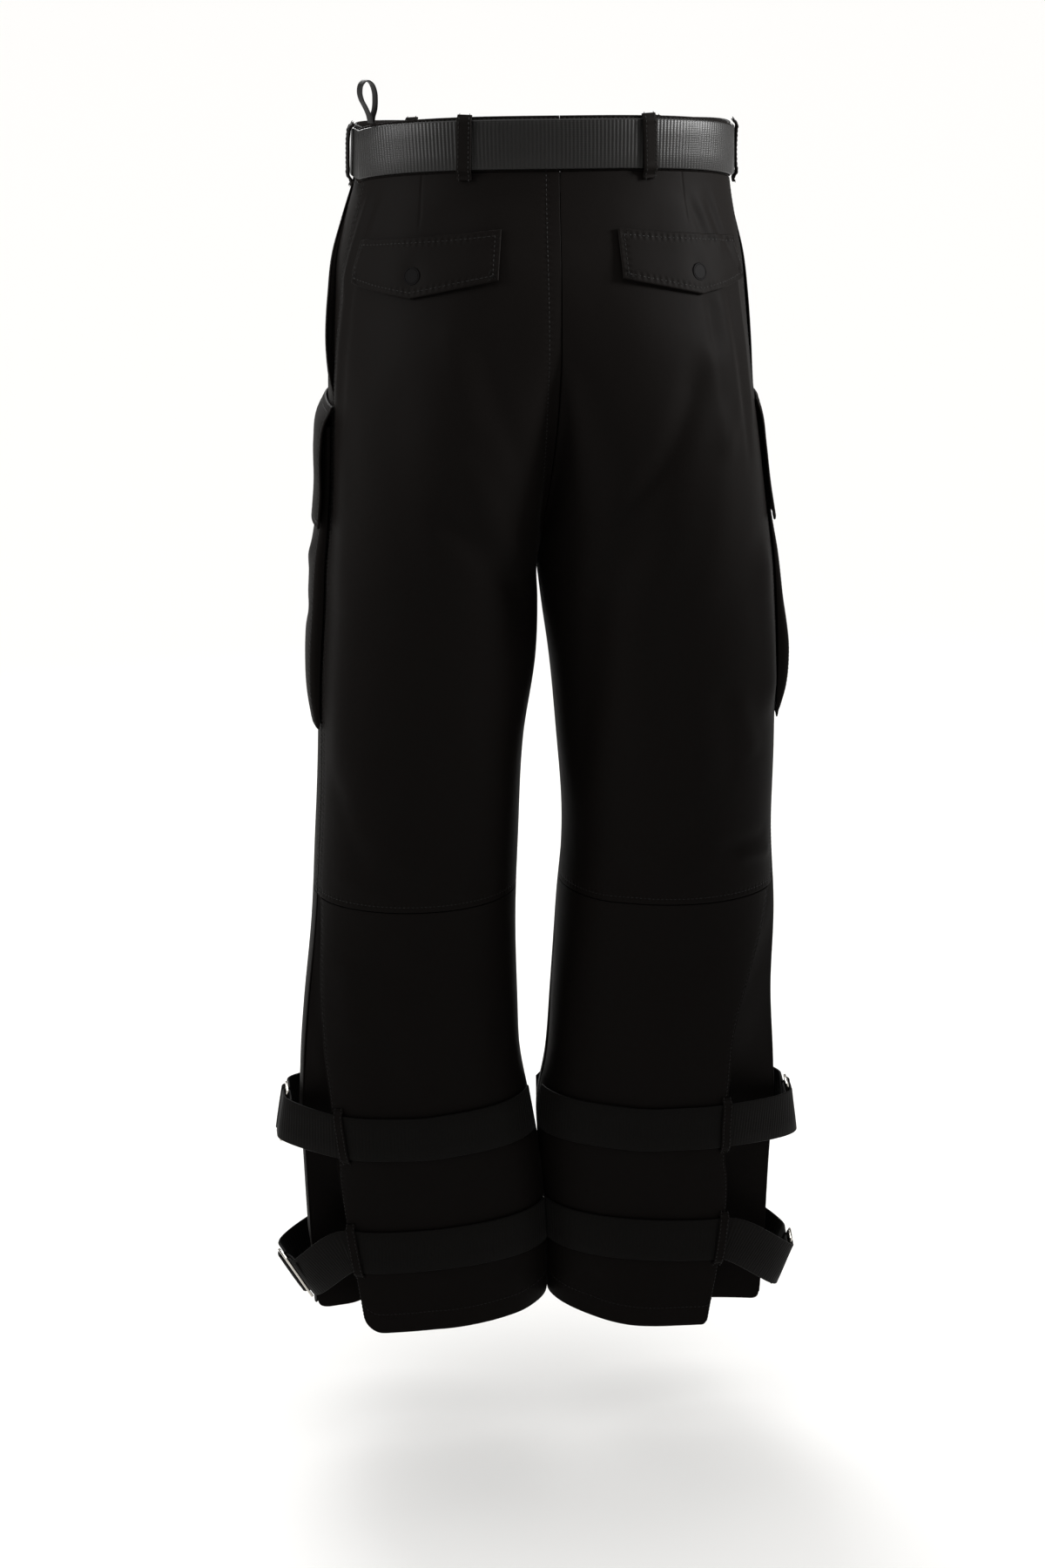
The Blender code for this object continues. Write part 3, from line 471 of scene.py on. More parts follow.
# %% Webbing, thread, ribbon and tape
YARN = 1.4 * MM  # coarser than a real yarn, so that it shows
YARN_DEPTH = 0.05 * MM
WEBBINGS = []
for name, colour, roughness, shine in (
    ("polyester webbing of the belt", "#0d0c0b", 0.42, 0.19),
    ("polyester webbing of the leg straps, duller", "#0b0a09", 0.5, 0.02),
):
    made, tree, shader = finish(
        name, colour, roughness, **{"Specular IOR Level": shine, "Sheen Weight": 0.02},
    )
    flat = add(tree, "ShaderNodeUVMap", uv_map="flat")
    yarns = add(
        tree, "ShaderNodeTexWave", {"Vector": flat.outputs[0], "Scale": WAVE_UNIT / YARN},
        bands_direction="Y",
    )
    bump = add(tree, "ShaderNodeBump", {"Height": yarns.outputs["Fac"], "Distance": YARN_DEPTH})
    tree.links.new(bump.outputs[0], shader.inputs["Normal"])
    WEBBINGS.append(made)
BELT_WEBBING, STRAP_WEBBING = WEBBINGS
THREAD = finish(
    "polyester thread, spun", "#0e0d0c", 0.5,
    **{"Specular IOR Level": 0.12, "Sheen Weight": 0.04, "Sheen Roughness": 0.4},
)[0]
RIBBON = finish("satin ribbon", "#121110", 0.45, **{"Specular IOR Level": 0.12})[0]
TAPE = finish("zip tape, knitted", "#141313", 0.75)[0]
print("woven:", BELT_WEBBING.name, THREAD.name, RIBBON.name, TAPE.name)

# %% [markdown]
# The slides are cast zinc with a polished nickel plate, which the eye reads by its bright, sharp
# reflections. The snaps are brass caps baked with a matt black enamel, as dark as the cloth, so
# only their raised rings catch a little light.

# %% Nickel and enamel
NICKEL = finish("nickel plate, polished", "#c9c5bd", 0.18, Metallic=1.0)[0]
ENAMEL = finish("black enamel on brass", "#070606", 0.6, **{"Specular IOR Level": 0.03})[0]
print("metals:", NICKEL.name, ENAMEL.name)

# %% [markdown]
# ## A panel of cloth
#
# A panel is a thin closed shell: an outer face, an inner face, and a rim whose corners are rounded.
# It is worked out on a grid of (u, z), closer at its edges, where the rim turns and the rows of
# stitches lie. The flat map of a panel is its UV map, measured along the cloth in metres, so the
# weave has its real size on every piece.

# %% Grids
def stations(length, step, fine=(0.35, 0.8, 1.5, 2.6, 4.2, 6.2, 8.8)):
    """Shares from 0 to 1 of a length in metres: close at both ends, and even between.

    step, and fine, the places near an end, are in millimetres.
    """
    ends = np.array((0,) + fine) * MM / length
    count = max(2, round((1 - 2 * ends[-1]) * length / (step * MM)))
    between = np.linspace(ends[-1], 1 - ends[-1], count + 1)
    return np.concatenate([ends[:-1], between, (1 - ends[:-1])[::-1]])


def lattice(across, down):
    """Two grids over a piece, from places across it and places down it."""
    return np.meshgrid(across, down, indexing="ij")


def raised(side, u, z, height, place=surface):
    """The points at a height outside the cloth, over a grid of (u, z)."""
    flat_u, flat_z = u.ravel(), z.ravel()
    height = np.broadcast_to(height, u.shape).ravel()[:, None]
    points = place(side, flat_u, flat_z) + normal(side, flat_u, flat_z, place) * height
    return points.reshape(*u.shape, 3)


def own_side(side, points):
    """The points, moved where one has crossed the plane between the legs."""
    mid = read("mid", points[..., 2])
    points = points.copy()
    points[..., 0] = mid + side * np.maximum(side * (points[..., 0] - mid), SEAM / 2)
    return points


def arcs(points):
    """Lengths along a grid, across it and down it."""
    across = np.linalg.norm(np.diff(points, axis=0), axis=2).cumsum(axis=0)
    down = np.linalg.norm(np.diff(points, axis=1), axis=2).cumsum(axis=1)
    return np.pad(across, ((1, 0), (0, 0))), np.pad(down, ((0, 0), (1, 0)))


print("stations across a panel:", len(stations(0.3, 4)))

# %% [markdown]
# Small creases come from how the cloth is worn: fans of soft drag lines from the crotch and the
# seat, a few upright folds at the hips, slack above the knee seam and between the straps. They
# are low and uneven, and the hidden front gets the same kinds as the back.

# %% Small creases
CREASES = (
    # the hips and the seat, left
    (1, 0.89, -48, 0.95, -130, 5, 1.3), (1, 0.84, -46, 0.90, -150, 6, -1.0),
    (1, 0.79, -46, 0.84, -120, 6, 0.9), (1, 0.94, -120, 0.95, -230, 7, 1.1),
    (1, 0.89, -150, 0.90, -260, 8, -0.9),
    (1, 0.42, -150, 0.30, -240, 12, 0.7), (1, 0.30, -160, 0.16, -270, 12, -1.0),
    (1, 0.72, -200, 0.76, -330, 20, 1.6), (1, 0.76, -320, 0.80, -450, 20, 1.5),
    (1, 0.58, -210, 0.60, -420, 22, -1.4), (1, 0.36, -260, 0.22, -350, 14, 1.1),
    (1, 0.40, -370, 0.30, -440, 22, -1.0),
    (1, 0.73, -430, 0.75, -560, 20, 1.4), (1, 0.76, -530, 0.80, -610, 18, 1.1),
    (1, 0.50, -480, 0.34, -560, 18, 1.0), (1, 0.40, -600, 0.62, -640, 12, 0.9),
    (1, 0.88, -560, 0.74, -640, 12, -1.0), (1, 0.86, -650, 0.66, -662, 8, 0.7),
    # the seat and the thigh, right
    (-1, 0.52, -190, 0.30, -330, 16, 1.6), (-1, 0.62, -175, 0.64, -260, 16, -1.4),
    (-1, 0.62, -240, 0.64, -400, 18, 1.6), (-1, 0.36, -288, 0.31, -520, 18, -1.6),
    (-1, 0.50, -330, 0.42, -520, 18, 1.1), (-1, 0.75, -395, 0.86, -500, 16, 0.9),
    (-1, 0.60, -478, 0.63, -562, 12, 1.0),
    (-1, 0.74, -485, 0.81, -540, 10, 1.4), (-1, 0.68, -470, 0.72, -560, 10, -1.0),
    (-1, 0.76, -637, 0.94, -642, 6, 1.6),
    (-1, 0.70, -625, 0.90, -622, 7, -1.0), (-1, 0.30, -610, 0.56, -648, 12, 0.9),
    (-1, 0.64, -46, 0.72, -98, 7, 1.7), (-1, 0.59, -46, 0.65, -90, 6, -1.0),
    (-1, 0.75, -46, 0.85, -120, 6, 1.5), (-1, 0.70, -46, 0.79, -100, 5, -1.1),
    (-1, 0.67, -128, 0.71, -235, 9, 2.0), (-1, 0.60, -130, 0.63, -225, 8, -1.4),
    (-1, 0.75, -125, 0.78, -270, 8, -1.5), (-1, 0.84, -120, 0.84, -240, 7, 1.3),
    # the dark hollow down the seat seam
    (1, 0.0, -190, 0.0, -340, 20, -4.0), (-1, 0.0, -190, 0.0, -340, 20, -4.0),
    # below the knee
    (1, 0.80, -730, 0.76, -800, 16, 1.5), (1, 0.70, -720, 0.52, -760, 14, -0.9),
    (1, 0.36, -740, 0.40, -860, 18, 1.0), (1, 0.20, -780, 0.28, -870, 14, -1.0),
    (1, 0.62, -820, 0.66, -872, 12, -1.1), (1, 0.48, -850, 0.50, -872, 10, 0.9),
    (-1, 0.34, -730, 0.42, -850, 18, 1.0), (-1, 0.62, -720, 0.50, -790, 16, -1.0),
    (-1, 0.20, -760, 0.26, -880, 14, -1.0), (-1, 0.56, -800, 0.58, -880, 12, 0.9),
    # between the straps and at the hem
    (1, 0.30, -925, 0.34, -1000, 12, 1.2), (1, 0.52, -922, 0.50, -990, 14, -1.2),
    (1, 0.66, -925, 0.64, -1000, 12, 1.0), (-1, 0.26, -925, 0.30, -1000, 12, 1.1),
    (-1, 0.44, -925, 0.46, -1000, 12, -1.1), (-1, 0.60, -925, 0.58, -1005, 12, 1.0),
    (1, 0.24, -1045, 0.20, -1090, 14, 1.2), (1, 0.50, -1050, 0.54, -1095, 14, -1.1),
    (-1, 0.28, -1050, 0.24, -1090, 14, -1.1), (-1, 0.50, -1050, 0.52, -1100, 14, 1.1),
    # the front
    (1, 1.70, -150, 1.92, -290, 12, -1.9), (1, 1.60, -200, 1.86, -340, 12, 1.6),
    (1, 1.94, -240, 1.98, -340, 9, -1.6), (1, 1.50, -120, 1.44, -220, 12, 1.3),
    (-1, 1.68, -150, 1.90, -300, 12, -1.9), (-1, 1.58, -200, 1.84, -350, 12, 1.4),
    (-1, 1.93, -250, 1.98, -340, 9, -1.6), (-1, 1.52, -110, 1.46, -210, 12, 1.3),
    (1, 1.72, -400, 1.66, -560, 16, 1.6), (1, 1.80, -590, 1.50, -640, 12, -1.8),
    (1, 1.86, -630, 1.60, -655, 10, 1.4), (-1, 1.74, -410, 1.68, -560, 16, 1.6),
    (-1, 1.80, -585, 1.48, -635, 12, -1.8), (-1, 1.84, -625, 1.58, -655, 10, 1.4),
    (1, 1.60, -720, 1.66, -860, 16, 1.6), (1, 1.80, -700, 1.55, -740, 12, -1.4),
    (-1, 1.58, -720, 1.64, -860, 16, 1.6), (-1, 1.80, -705, 1.55, -745, 12, -1.4),
    (1, 1.50, -925, 1.52, -1010, 12, 1.6), (1, 1.72, -925, 1.70, -1010, 12, -1.4),
    (-1, 1.48, -925, 1.50, -1010, 12, 1.6), (-1, 1.70, -925, 1.68, -1010, 12, -1.4),
    (1, 1.35, -1065, 1.38, -1098, 12, 1.4), (-1, 1.35, -1065, 1.38, -1100, 12, -1.4),
    (1, 1.66, -1065, 1.62, -1098, 12, -1.4), (-1, 1.62, -1065, 1.60, -1100, 12, 1.3),
)
WAVES = 14  # slow, low waves in every direction, so that no stretch of cloth is quite even
WAVE_HEIGHT = 0.22 * MM
CHANCE = np.random.default_rng(11)
WAVE_WAYS = CHANCE.uniform(-1, 1, (WAVES, 2)) * (1, 0.55)
WAVE_LENGTHS = CHANCE.uniform(70, 190, WAVES) * MM
WAVE_STARTS = CHANCE.uniform(0, 2 * math.pi, WAVES)
STRAP_LINES = ((-0.893, -0.896, -0.908), (-1.007, -1.011, -1.048))  # z at inseam, keeper, front
LEVEL_FROM = 0.8  # u from which a strap's back length lies level


def strap_line(level, side, u):
    """z of a leg strap's middle at each place round the leg."""
    inner, keeper, front = STRAP_LINES[level]
    back = inner + (keeper - inner) * smoothstep(u / LEVEL_FROM)
    return np.where(u > 1, front, back)


PRESSED_REACH = 26 * MM  # a strap presses the cloth flat this far from its middle
PRESSED_SHARE = 0.92  # of the creases' height is gone under a strap
BELT_PRESSES_TO = -0.045
BELT_RELEASE = 0.02  # the height over which the creases start under the belt


def relief(side, u, z):
    """How far creases and slow waves move the cloth out. Straps and belt press it flat."""
    height = fold_height(CREASES, side, fold_u(side, u, z), z)
    for way, length, start in zip(WAVE_WAYS, WAVE_LENGTHS, WAVE_STARTS):
        along = (u * GIRTH * way[0] * side + z * way[1]) * 2 * math.pi / length
        height += WAVE_HEIGHT * np.sin(along + start)
    for level in (0, 1):
        off = np.abs(z - strap_line(level, side, u)) / PRESSED_REACH
        height *= 1 - PRESSED_SHARE * np.exp(-off**6)
    return height * smoothstep((BELT_PRESSES_TO - z) / BELT_RELEASE)


print("small creases:", len(CREASES), "slow waves:", WAVES)

# %% [markdown]
# One function turns two grids of points into a closed shell. Every face is a quad, and the shell
# is turned the right way out by its own volume: if that comes out negative, all faces are flipped.

# %% A shell from two grids
def shell_faces(across, down, ring):
    """Quads of a shell: its outer grid, its inner grid, and the rim that joins them."""
    def at(i, j, layer=0):
        return layer * across * down + (i % across) * down + j

    i, j = np.arange(across if ring else across - 1), np.arange(down - 1)
    last_i, last_j = across - 1, down - 1
    rim = [
        (at(i + 1, 0), at(i, 0), at(i, 0, 1), at(i + 1, 0, 1)),
        (at(i, last_j), at(i + 1, last_j), at(i + 1, last_j, 1), at(i, last_j, 1)),
    ]
    if not ring:
        rim += [
            (at(0, j), at(0, j + 1), at(0, j + 1, 1), at(0, j, 1)),
            (at(last_i, j + 1), at(last_i, j), at(last_i, j, 1), at(last_i, j + 1, 1)),
        ]
    i, j = (v.ravel() for v in np.meshgrid(i, j, indexing="ij"))
    broad = [
        (at(i, j), at(i + 1, j), at(i + 1, j + 1), at(i, j + 1)),
        (at(i, j, 1), at(i, j + 1, 1), at(i + 1, j + 1, 1), at(i + 1, j, 1)),
    ]
    return np.concatenate([np.stack(corners, axis=1) for corners in broad + rim])


def mesh_piece(name, points, faces, material, flat=None, **attributes):
    """A smooth piece of quads. flat is its UV map; an attribute has one value a point."""
    a, b, c, d = (points[faces[:, k]] for k in range(4))
    volume = (a * (np.cross(b, c) + np.cross(c, d))).sum()
    faces = faces[:, ::-1] if volume < 0 else faces
    mesh = bpy.data.meshes.new(name)
    mesh.vertices.add(len(points))
    mesh.vertices.foreach_set("co", points.ravel())
    mesh.loops.add(faces.size)
    mesh.loops.foreach_set("vertex_index", faces.ravel())
    mesh.polygons.add(len(faces))
    mesh.polygons.foreach_set("loop_start", np.arange(0, faces.size, 4))
    mesh.update(calc_edges=True)
    mesh.shade_smooth()
    if flat is not None:
        mesh.uv_layers.new(name="flat").data.foreach_set("uv", flat[faces.ravel()].ravel())
    for key, values in attributes.items():
        mesh.attributes.new(key, "FLOAT", "POINT").data.foreach_set("value", values)
    mesh.materials.append(material)
    return placed(name, mesh)


def dress(piece, slot, *nodes):
    """The piece rides on the body and stands for its solids, which it hides. slot is not used."""
    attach(piece, "root")
    if nodes:
        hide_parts(*nodes)
    return piece


print("quads of a 4 by 3 shell:", len(shell_faces(4, 3, False)))

# %% [markdown]
# Rows of stitches follow the edges of a panel at a fixed distance. The function below keeps each
# row as a line of points on the cloth, to be sewn later, and gives every point of the panel its
# distance to the nearest row, which the material uses for its ripples. The cloth itself also sinks
# a little along the row, where the thread pulls it in.

# %% Rows of stitches along the edges
ROWS = {"left": [], "right": []}  # lines of points, sewn at the end
SINK = 0.35 * MM
SINK_REACH = 1.6 * MM
ROW_SLACK = 0.3 * MM  # how much closer another edge comes where a framed row ends
NO_ROW = 1.0  # the distance to a row where there is none near
EDGE_ROW = 5.5  # mm from an edge to its row


def edge_distances(across, down):
    """How far each point of a grid lies from its four edges, and how far along that edge."""
    return {
        "start": (across, down),
        "end": (across[-1] - across, down),
        "top": (down, across),
        "foot": (down[:, -1:] - down, across),
    }


def row_line(points, edge, distances, away, framed):
    """The line of points at one distance from an edge, read between the grid's own points.

    A framed row turns at the corners, so it ends where another edge comes as close.
    """
    border = np.min([off for off, along in distances.values()], axis=0)
    values = np.concatenate([points, border[..., None], distances[edge][0][..., None]], axis=2)
    if edge in ("start", "end"):
        values = values.transpose(1, 0, 2)
    line = []
    for cells in values:
        cells = cells[np.argsort(cells[:, 4])]
        line.append([np.interp(away, cells[:, 4], cells[:, k]) for k in range(4)])
    line = np.array(line)
    return line[line[:, 3] > away - ROW_SLACK, :3] if framed else line[:, :3]


def panel(name, side, u, z, low, high, rows=(), place=surface, moved=None,
          round_to=0.7, mirror=True, framed=False, on_map=False):
    """A cloth panel over a grid of (u, z), between two distances from the form of the leg.

    rows: (edge, distance in mm) for each row of stitches. moved: a function that moves it out.
    on_map: the rows keep their distance on the (u, z) map, not over a folded edge.
    """
    base = raised(side, u, z, (np.asarray(low) + high) / 2, place)
    if on_map:
        base = np.stack([u * GIRTH, z, 0 * u], axis=2)
    across, down = arcs(base)
    distances = edge_distances(across, down)
    border = np.min([off for off, along in distances.values()], axis=0)
    radius = round_to * MM
    corner = radius * (1 - np.sqrt(1 - (1 - np.clip(border / radius, 0, 1)) ** 2))
    off, along = np.full(u.shape, NO_ROW), np.zeros(u.shape)
    for edge, away in rows:
        gap = np.abs(distances[edge][0] - away * MM)
        along = np.where(gap < off, distances[edge][1], along)
        off = np.minimum(off, gap)
    out = (moved(side, u, z) if moved else 0) - SINK * np.exp(-((off / SINK_REACH) ** 2))
    outer = raised(side, u, z, high + out - corner, place)
    inner = raised(side, u, z, low + out + corner, place)
    if mirror:
        outer, inner = own_side(side, outer), own_side(side, inner)
    for edge, away in rows:
        ROWS[SIDES[side]].append(row_line(outer, edge, distances, away * MM, framed))
    points = np.concatenate([outer.reshape(-1, 3), inner.reshape(-1, 3)])
    flat = np.stack([across.ravel(), -down.ravel()], axis=1)
    double = [np.concatenate([v, v]) for v in (flat, off.ravel(), along.ravel())]
    made = mesh_piece(
        name, points, shell_faces(*u.shape, False), COTTON, double[0],
        row_off=double[1], row_run=double[2],
    )
    cut = (round(float(across[-1].max()), 3), round(float(down[:, -1].max()), 3))
    quads = outer[1:, 1:] - outer[:-1, :-1], outer[1:, :-1] - outer[:-1, 1:]
    area = float(np.linalg.norm(np.cross(*quads), axis=2).sum() / 2)
    print(f"{name}: {cut[0]:.3f} x {cut[1]:.3f} m, {area:.3f} m2, {len(points)} points")
    return made, cut, min(area, cut[0] * cut[1])


def cloth(name, side, u, z, low, high, hangs_from, held="hung", **more):
    """A panel that replaces the solid of its own name.

    Names get their side added, apart from the one placket's.
    """
    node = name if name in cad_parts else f"{name}_{SIDES[side]}"
    made, cut, area = panel("cloth_" + node, side, u, z, low, high, **more)
    dress(made, "cotton_satin", node)


def rows_at(away, *edges):
    """Rows of stitches at one distance in millimetres from several edges."""
    return [(edge, away) for edge in edges]


print("rows:", rows_at(5.0, "top", "foot"))

# %% [markdown]
# ## The panels above the knee
#
# The back panel runs from the waistband to the knee. Its rows are level at the side seam and lean
# towards the crotch, as the grain of the real panel does. Felled side seams show two rows of
# stitches on the back panel. The seat seam has one on the left, 11 mm from the seam, with ripples
# that can be seen in the photograph. A dart is a fold sewn to nothing: a fine straight groove.

# %% Back panels
STEP = 4.2  # mm between points of a panel


def levels(side, seam_u, shares):
    """Shares of the way from waist to knee, even along the crotch curve and inseam."""
    z = np.linspace(-WAISTBAND, KNEE_Z, 1200)
    run = surface(side, np.full_like(z, seam_u), z)
    length = np.concatenate([[0], np.cumsum(np.linalg.norm(np.diff(run, axis=0), axis=1))])
    return np.interp(shares * length[-1], length, (z - z[0]) / (z[-1] - z[0]))


def upper_heights(side, seam_u, u, shares):
    close = (1 - np.abs(u - seam_u)) ** 2
    share = shares + (levels(side, seam_u, shares) - shares) * close
    top, bottom = rise(u) - WAISTBAND - SEAM, KNEE_Z + SEAM
    return top + (bottom - top) * share


# u at the top and at the tip, and z of the tip
DARTS = {1: (0.600, 0.575, -0.076), -1: (0.575, 0.567, -0.073)}
DART_WIDTH = 1.4 * MM
DART_DEPTH = 0.5 * MM
DART_FADE = 0.008  # the height over which a dart runs out


def seat(side, u, z):
    """Small creases and the dart's groove."""
    top, tip, foot = DARTS[side]
    down = np.clip((z + WAISTBAND) / (foot + WAISTBAND), 0, 1)
    off = np.abs(u - (top + (tip - top) * down)) * GIRTH / DART_WIDTH
    fade = smoothstep((z - foot) / DART_FADE)
    return relief(side, u, z) - DART_DEPTH * np.exp(-off * off) * fade


LONG = stations(-KNEE_Z - WAISTBAND, STEP)
ROUND_DART = (0.558, 0.616)  # u with closer columns, so that the dart's groove has its own shape
DART_STEP = 0.004
FELLED_SEAM = [("end", 1.6), ("end", 7.6)]
SEAT_SEAM = {1: [("start", 11.0)], -1: []}
columns = EPS + (1 - 2 * EPS) * stations(GIRTH, STEP)
apart = (columns < ROUND_DART[0]) | (columns > ROUND_DART[1])
close = np.arange(ROUND_DART[0] + 0.003, ROUND_DART[1], DART_STEP)
u, down = lattice(np.sort(np.concatenate([columns[apart], close])), LONG)
for side in SIDES:
    cloth(
        "back_panel", side, u, upper_heights(side, 0, u, down), -WALL, 0.0, ["waistband"],
        rows=FELLED_SEAM + rows_at(EDGE_ROW, "foot") + SEAT_SEAM[side], moved=seat,
    )

# %% [markdown]
# The front panel is cut away at the hip for the slanted pocket. Its edge there stands off a
# little, since the photograph shows it gaping at the wearer's left, and the facing behind shows.

# %% Front panels and hip facings
MOUTH_WIDTH = 0.20
MOUTH_Z = -0.222
MOUTH_GAPE = {1: 6 * MM, -1: 1.5 * MM}
GAPE_REACH = 0.16  # u from the mouth's edge to where the cloth lies down again
FACING_PLY = 1.2 * MM
FACING_GAP = 0.6 * MM
FACING_BEYOND = 0.07  # how far, in u, the facing runs under the front panel
FACING_TOP = rise(1.1) - WAISTBAND - 2 * MM
FACING_FOOT = MOUTH_Z + 4 * MM


def mouth_edge(z):
    """u of the front panel's slanted edge."""
    return 1 + EPS + MOUTH_WIDTH * np.clip((z - MOUTH_Z) / (-WAISTBAND - MOUTH_Z), 0, 1)


def front_relief(side, u, z):
    down = np.clip((z + WAISTBAND) / (MOUTH_Z + WAISTBAND), 0, 1)
    gape = MOUTH_GAPE[side] * np.sin(np.pi * down**2)
    return relief(side, u, z) + gape * (1 - smoothstep((u - mouth_edge(z)) / GAPE_REACH))


front_share, front_down = lattice(stations(GIRTH, STEP), LONG)
plain = (0.6, 1.6, 3.0)  # fewer columns at the edges of a piece that hardly shows
share, down = lattice(stations(0.06, 5.0, plain), stations(0.17, 5.0, plain))
facing_z = FACING_TOP + (FACING_FOOT - FACING_TOP) * down
facing_u = 1 + EPS + (mouth_edge(facing_z) + FACING_BEYOND - 1 - EPS) * share
under = -WALL - FACING_GAP
for side in SIDES:
    low_u = mouth_edge(upper_heights(side, 2, 1 + front_share, front_down))
    u = low_u + (2 - EPS - low_u) * front_share
    cloth(
        "front_panel", side, u, upper_heights(side, 2, u, front_down), -WALL, 0.0, ["waistband"],
        rows=rows_at(EDGE_ROW, "start", "foot"), moved=front_relief,
    )
    cloth(
        "hip_facing", side, facing_u, facing_z, under - FACING_PLY, under, ["waistband"],
        moved=relief, round_to=0.5,
    )

# %% [markdown]
# ## The panels below the knee
#
# The lower panels hang from the knee seam. At the outer side a wedge is let in between the back
# panel and the side seam, and folded in behind the back panel, which gives the leg its width.

# %% Lower panels and wedges
HEM_CLIMB = 0.6  # u over which the hem climbs towards the inseam
GORE_WAVE = 0.9 * MM


def lower_heights(side, u, shares):
    """z over a panel from the knee to the hem, which climbs a little towards the inseam."""
    out = smoothstep(np.minimum(u, 2 - u) / HEM_CLIMB)
    hem = HEM_INNER_Z + (HEM_OUTER_Z[side] - HEM_INNER_Z) * out
    return KNEE_Z - SEAM + (hem - KNEE_Z + SEAM) * shares


def lower_back_u(side, share, z):
    return EPS + (gore_edge(side, z) - 2 * EPS) * share


def gore_relief(side, t, z):
    """The wedge has its own low waves, still at its two edges."""
    waves = np.sin(38 * z + 3 * t) + 0.6 * np.sin(71 * z - 5 * t + side)
    return GORE_WAVE * waves * np.sin(np.pi * np.clip(t, 0, 1)) ** 2


HEM_CORNER = {1: 18 * MM, -1: 7 * MM}  # radius where the hem meets the back panel's free edge
SIDE_CORNER = {1: 15 * MM, -1: 10 * MM}  # radius of the hem at the side seam
GORE_SHORTER = {1: 4 * MM, -1: 0}  # how far the wedge's hem hangs higher than the panels'
GORE_REACH = 60 * MM  # across the wedge at the hem
GORE_START = 0.012  # t of the wedge's inner edge
GORE_T = GORE_START + (1 - GORE_START) * stations(0.15, 3.5, (0.6, 1.6, 3.2))
HEM_ROW = ("foot", 20.0)
SHORT = stations(0.415, STEP)


def rounded_hem(z, down, distance, radius):
    """Heights with the hem rounded towards an edge, which is at a distance."""
    near = 1 - np.clip(distance / radius, 0, 1)
    return z + radius * (1 - np.sqrt(1 - near**2)) * down**3


for side in SIDES:
    share, down = lattice(stations(0.26, STEP), SHORT)
    z = lower_heights(side, 0.9 * share, down)
    z = rounded_hem(z, down, (1 - share) * gore_edge(side, z) * GIRTH, HEM_CORNER[side])
    cloth(
        "lower_back", side, lower_back_u(side, share, z), z, -WALL, 0.0, ["cloth_back_panel"],
        rows=[HEM_ROW, ("end", 2.2)], moved=relief,
    )
    share, down = lattice(stations(GIRTH, STEP), SHORT)
    u = 1 + EPS + (1 - 2 * EPS) * share
    z = rounded_hem(lower_heights(side, u, down), down, (u - 1) * GIRTH / 3, SIDE_CORNER[side])
    cloth(
        "lower_front", side, u, z, -WALL, 0.0, ["cloth_front_panel"], rows=[HEM_ROW], moved=relief,
    )
    t, down = lattice(GORE_T, SHORT)
    z = lower_heights(side, np.ones_like(t), down) + GORE_SHORTER[side] * down**3
    z = rounded_hem(z, down, t * GORE_REACH, 2 * HEM_CORNER[side])
    z = rounded_hem(z, down, (1 - t) * GORE_REACH, SIDE_CORNER[side])
    cloth(
        "side_gore", side, t, z, -WALL, 0.0, ["cloth_lower_back", "cloth_lower_front"],
        place=gore, moved=gore_relief, round_to=0.6,
    )

# %% [markdown]
# ## The waistband and the flaps
#
# The waistband is two plies, with a row of stitches at its top and its foot. A flap is two plies
# too: its corners are rounded, and a row of stitches runs 5 mm inside its edges.

# %% Waistband
share, down = lattice(stations(0.44, STEP), stations(WAISTBAND, 4.0))
u = EPS + (2 - 2 * EPS) * share
for side in SIDES:
    cloth(
        "waistband", side, u, rise(u) - WAISTBAND * down, -PLY, 0.0, [],
        rows=rows_at(2.0, "top", "foot"), round_to=0.5,
    )

# %% Back pocket flaps
FLAP_COLUMNS = ("u", "top", "low")
FLAP = (
    (0.235, -73, -113),
    (0.400, -77, -121),
    (0.567, -81, -130),
    (0.720, -85, -127.5),
    (0.867, -89, -124),
)
FLAP_CORNERS = table(FLAP_COLUMNS, FLAP)
FLAP_POINT = FLAP[2][0]
FLAP_STEP = 2.6  # mm
FLAP_LIFT = 1.3 * MM  # of its lower edge
LIFT_REACH = 0.03
ALL_ROUND = rows_at(5.0, "top", "start", "end", "foot")
SNAP_Z = -0.112
SNAP_PULL = 1.2 * MM  # how far the snap draws the flap in
SNAP_REACH = 13 * MM


def flap_relief(side, u, z):
    """The flap lies on the seat, lifts a little at its point and is drawn in at its snap."""
    low = np.interp(u, FLAP_CORNERS["u"], FLAP_CORNERS["low"]) * MM
    lift = FLAP_LIFT * smoothstep(1 - (z - low) / LIFT_REACH)
    gap = np.hypot((u - FLAP_POINT) * GIRTH, z - SNAP_Z)
    return relief(side, u, z) + lift - SNAP_PULL * np.exp(-((gap / SNAP_REACH) ** 2))


inner = FLAP[0][0] + (FLAP_POINT - FLAP[0][0]) * stations(0.1, FLAP_STEP)
outer = FLAP_POINT + (FLAP[-1][0] - FLAP_POINT) * stations(0.09, FLAP_STEP)
u, down = lattice(np.concatenate([inner, outer[1:]]), stations(0.045, FLAP_STEP))
top, low = (np.interp(u, FLAP_CORNERS["u"], FLAP_CORNERS[key]) * MM for key in ("top", "low"))
for side in SIDES:
    cloth(
        "back_flap", side, u, top + (low - top) * down, LAY, LAY + PLY, ["cloth_back_panel"],
        held="laid", rows=ALL_ROUND, framed=True, moved=flap_relief, round_to=1.0,
    )

# %% [markdown]
# The pockets at the sides are bellows pockets: a face with a folded edge stands off the leg, and a
# flap closes it. The face is one grid again, whose border drops to the leg within 4 mm.

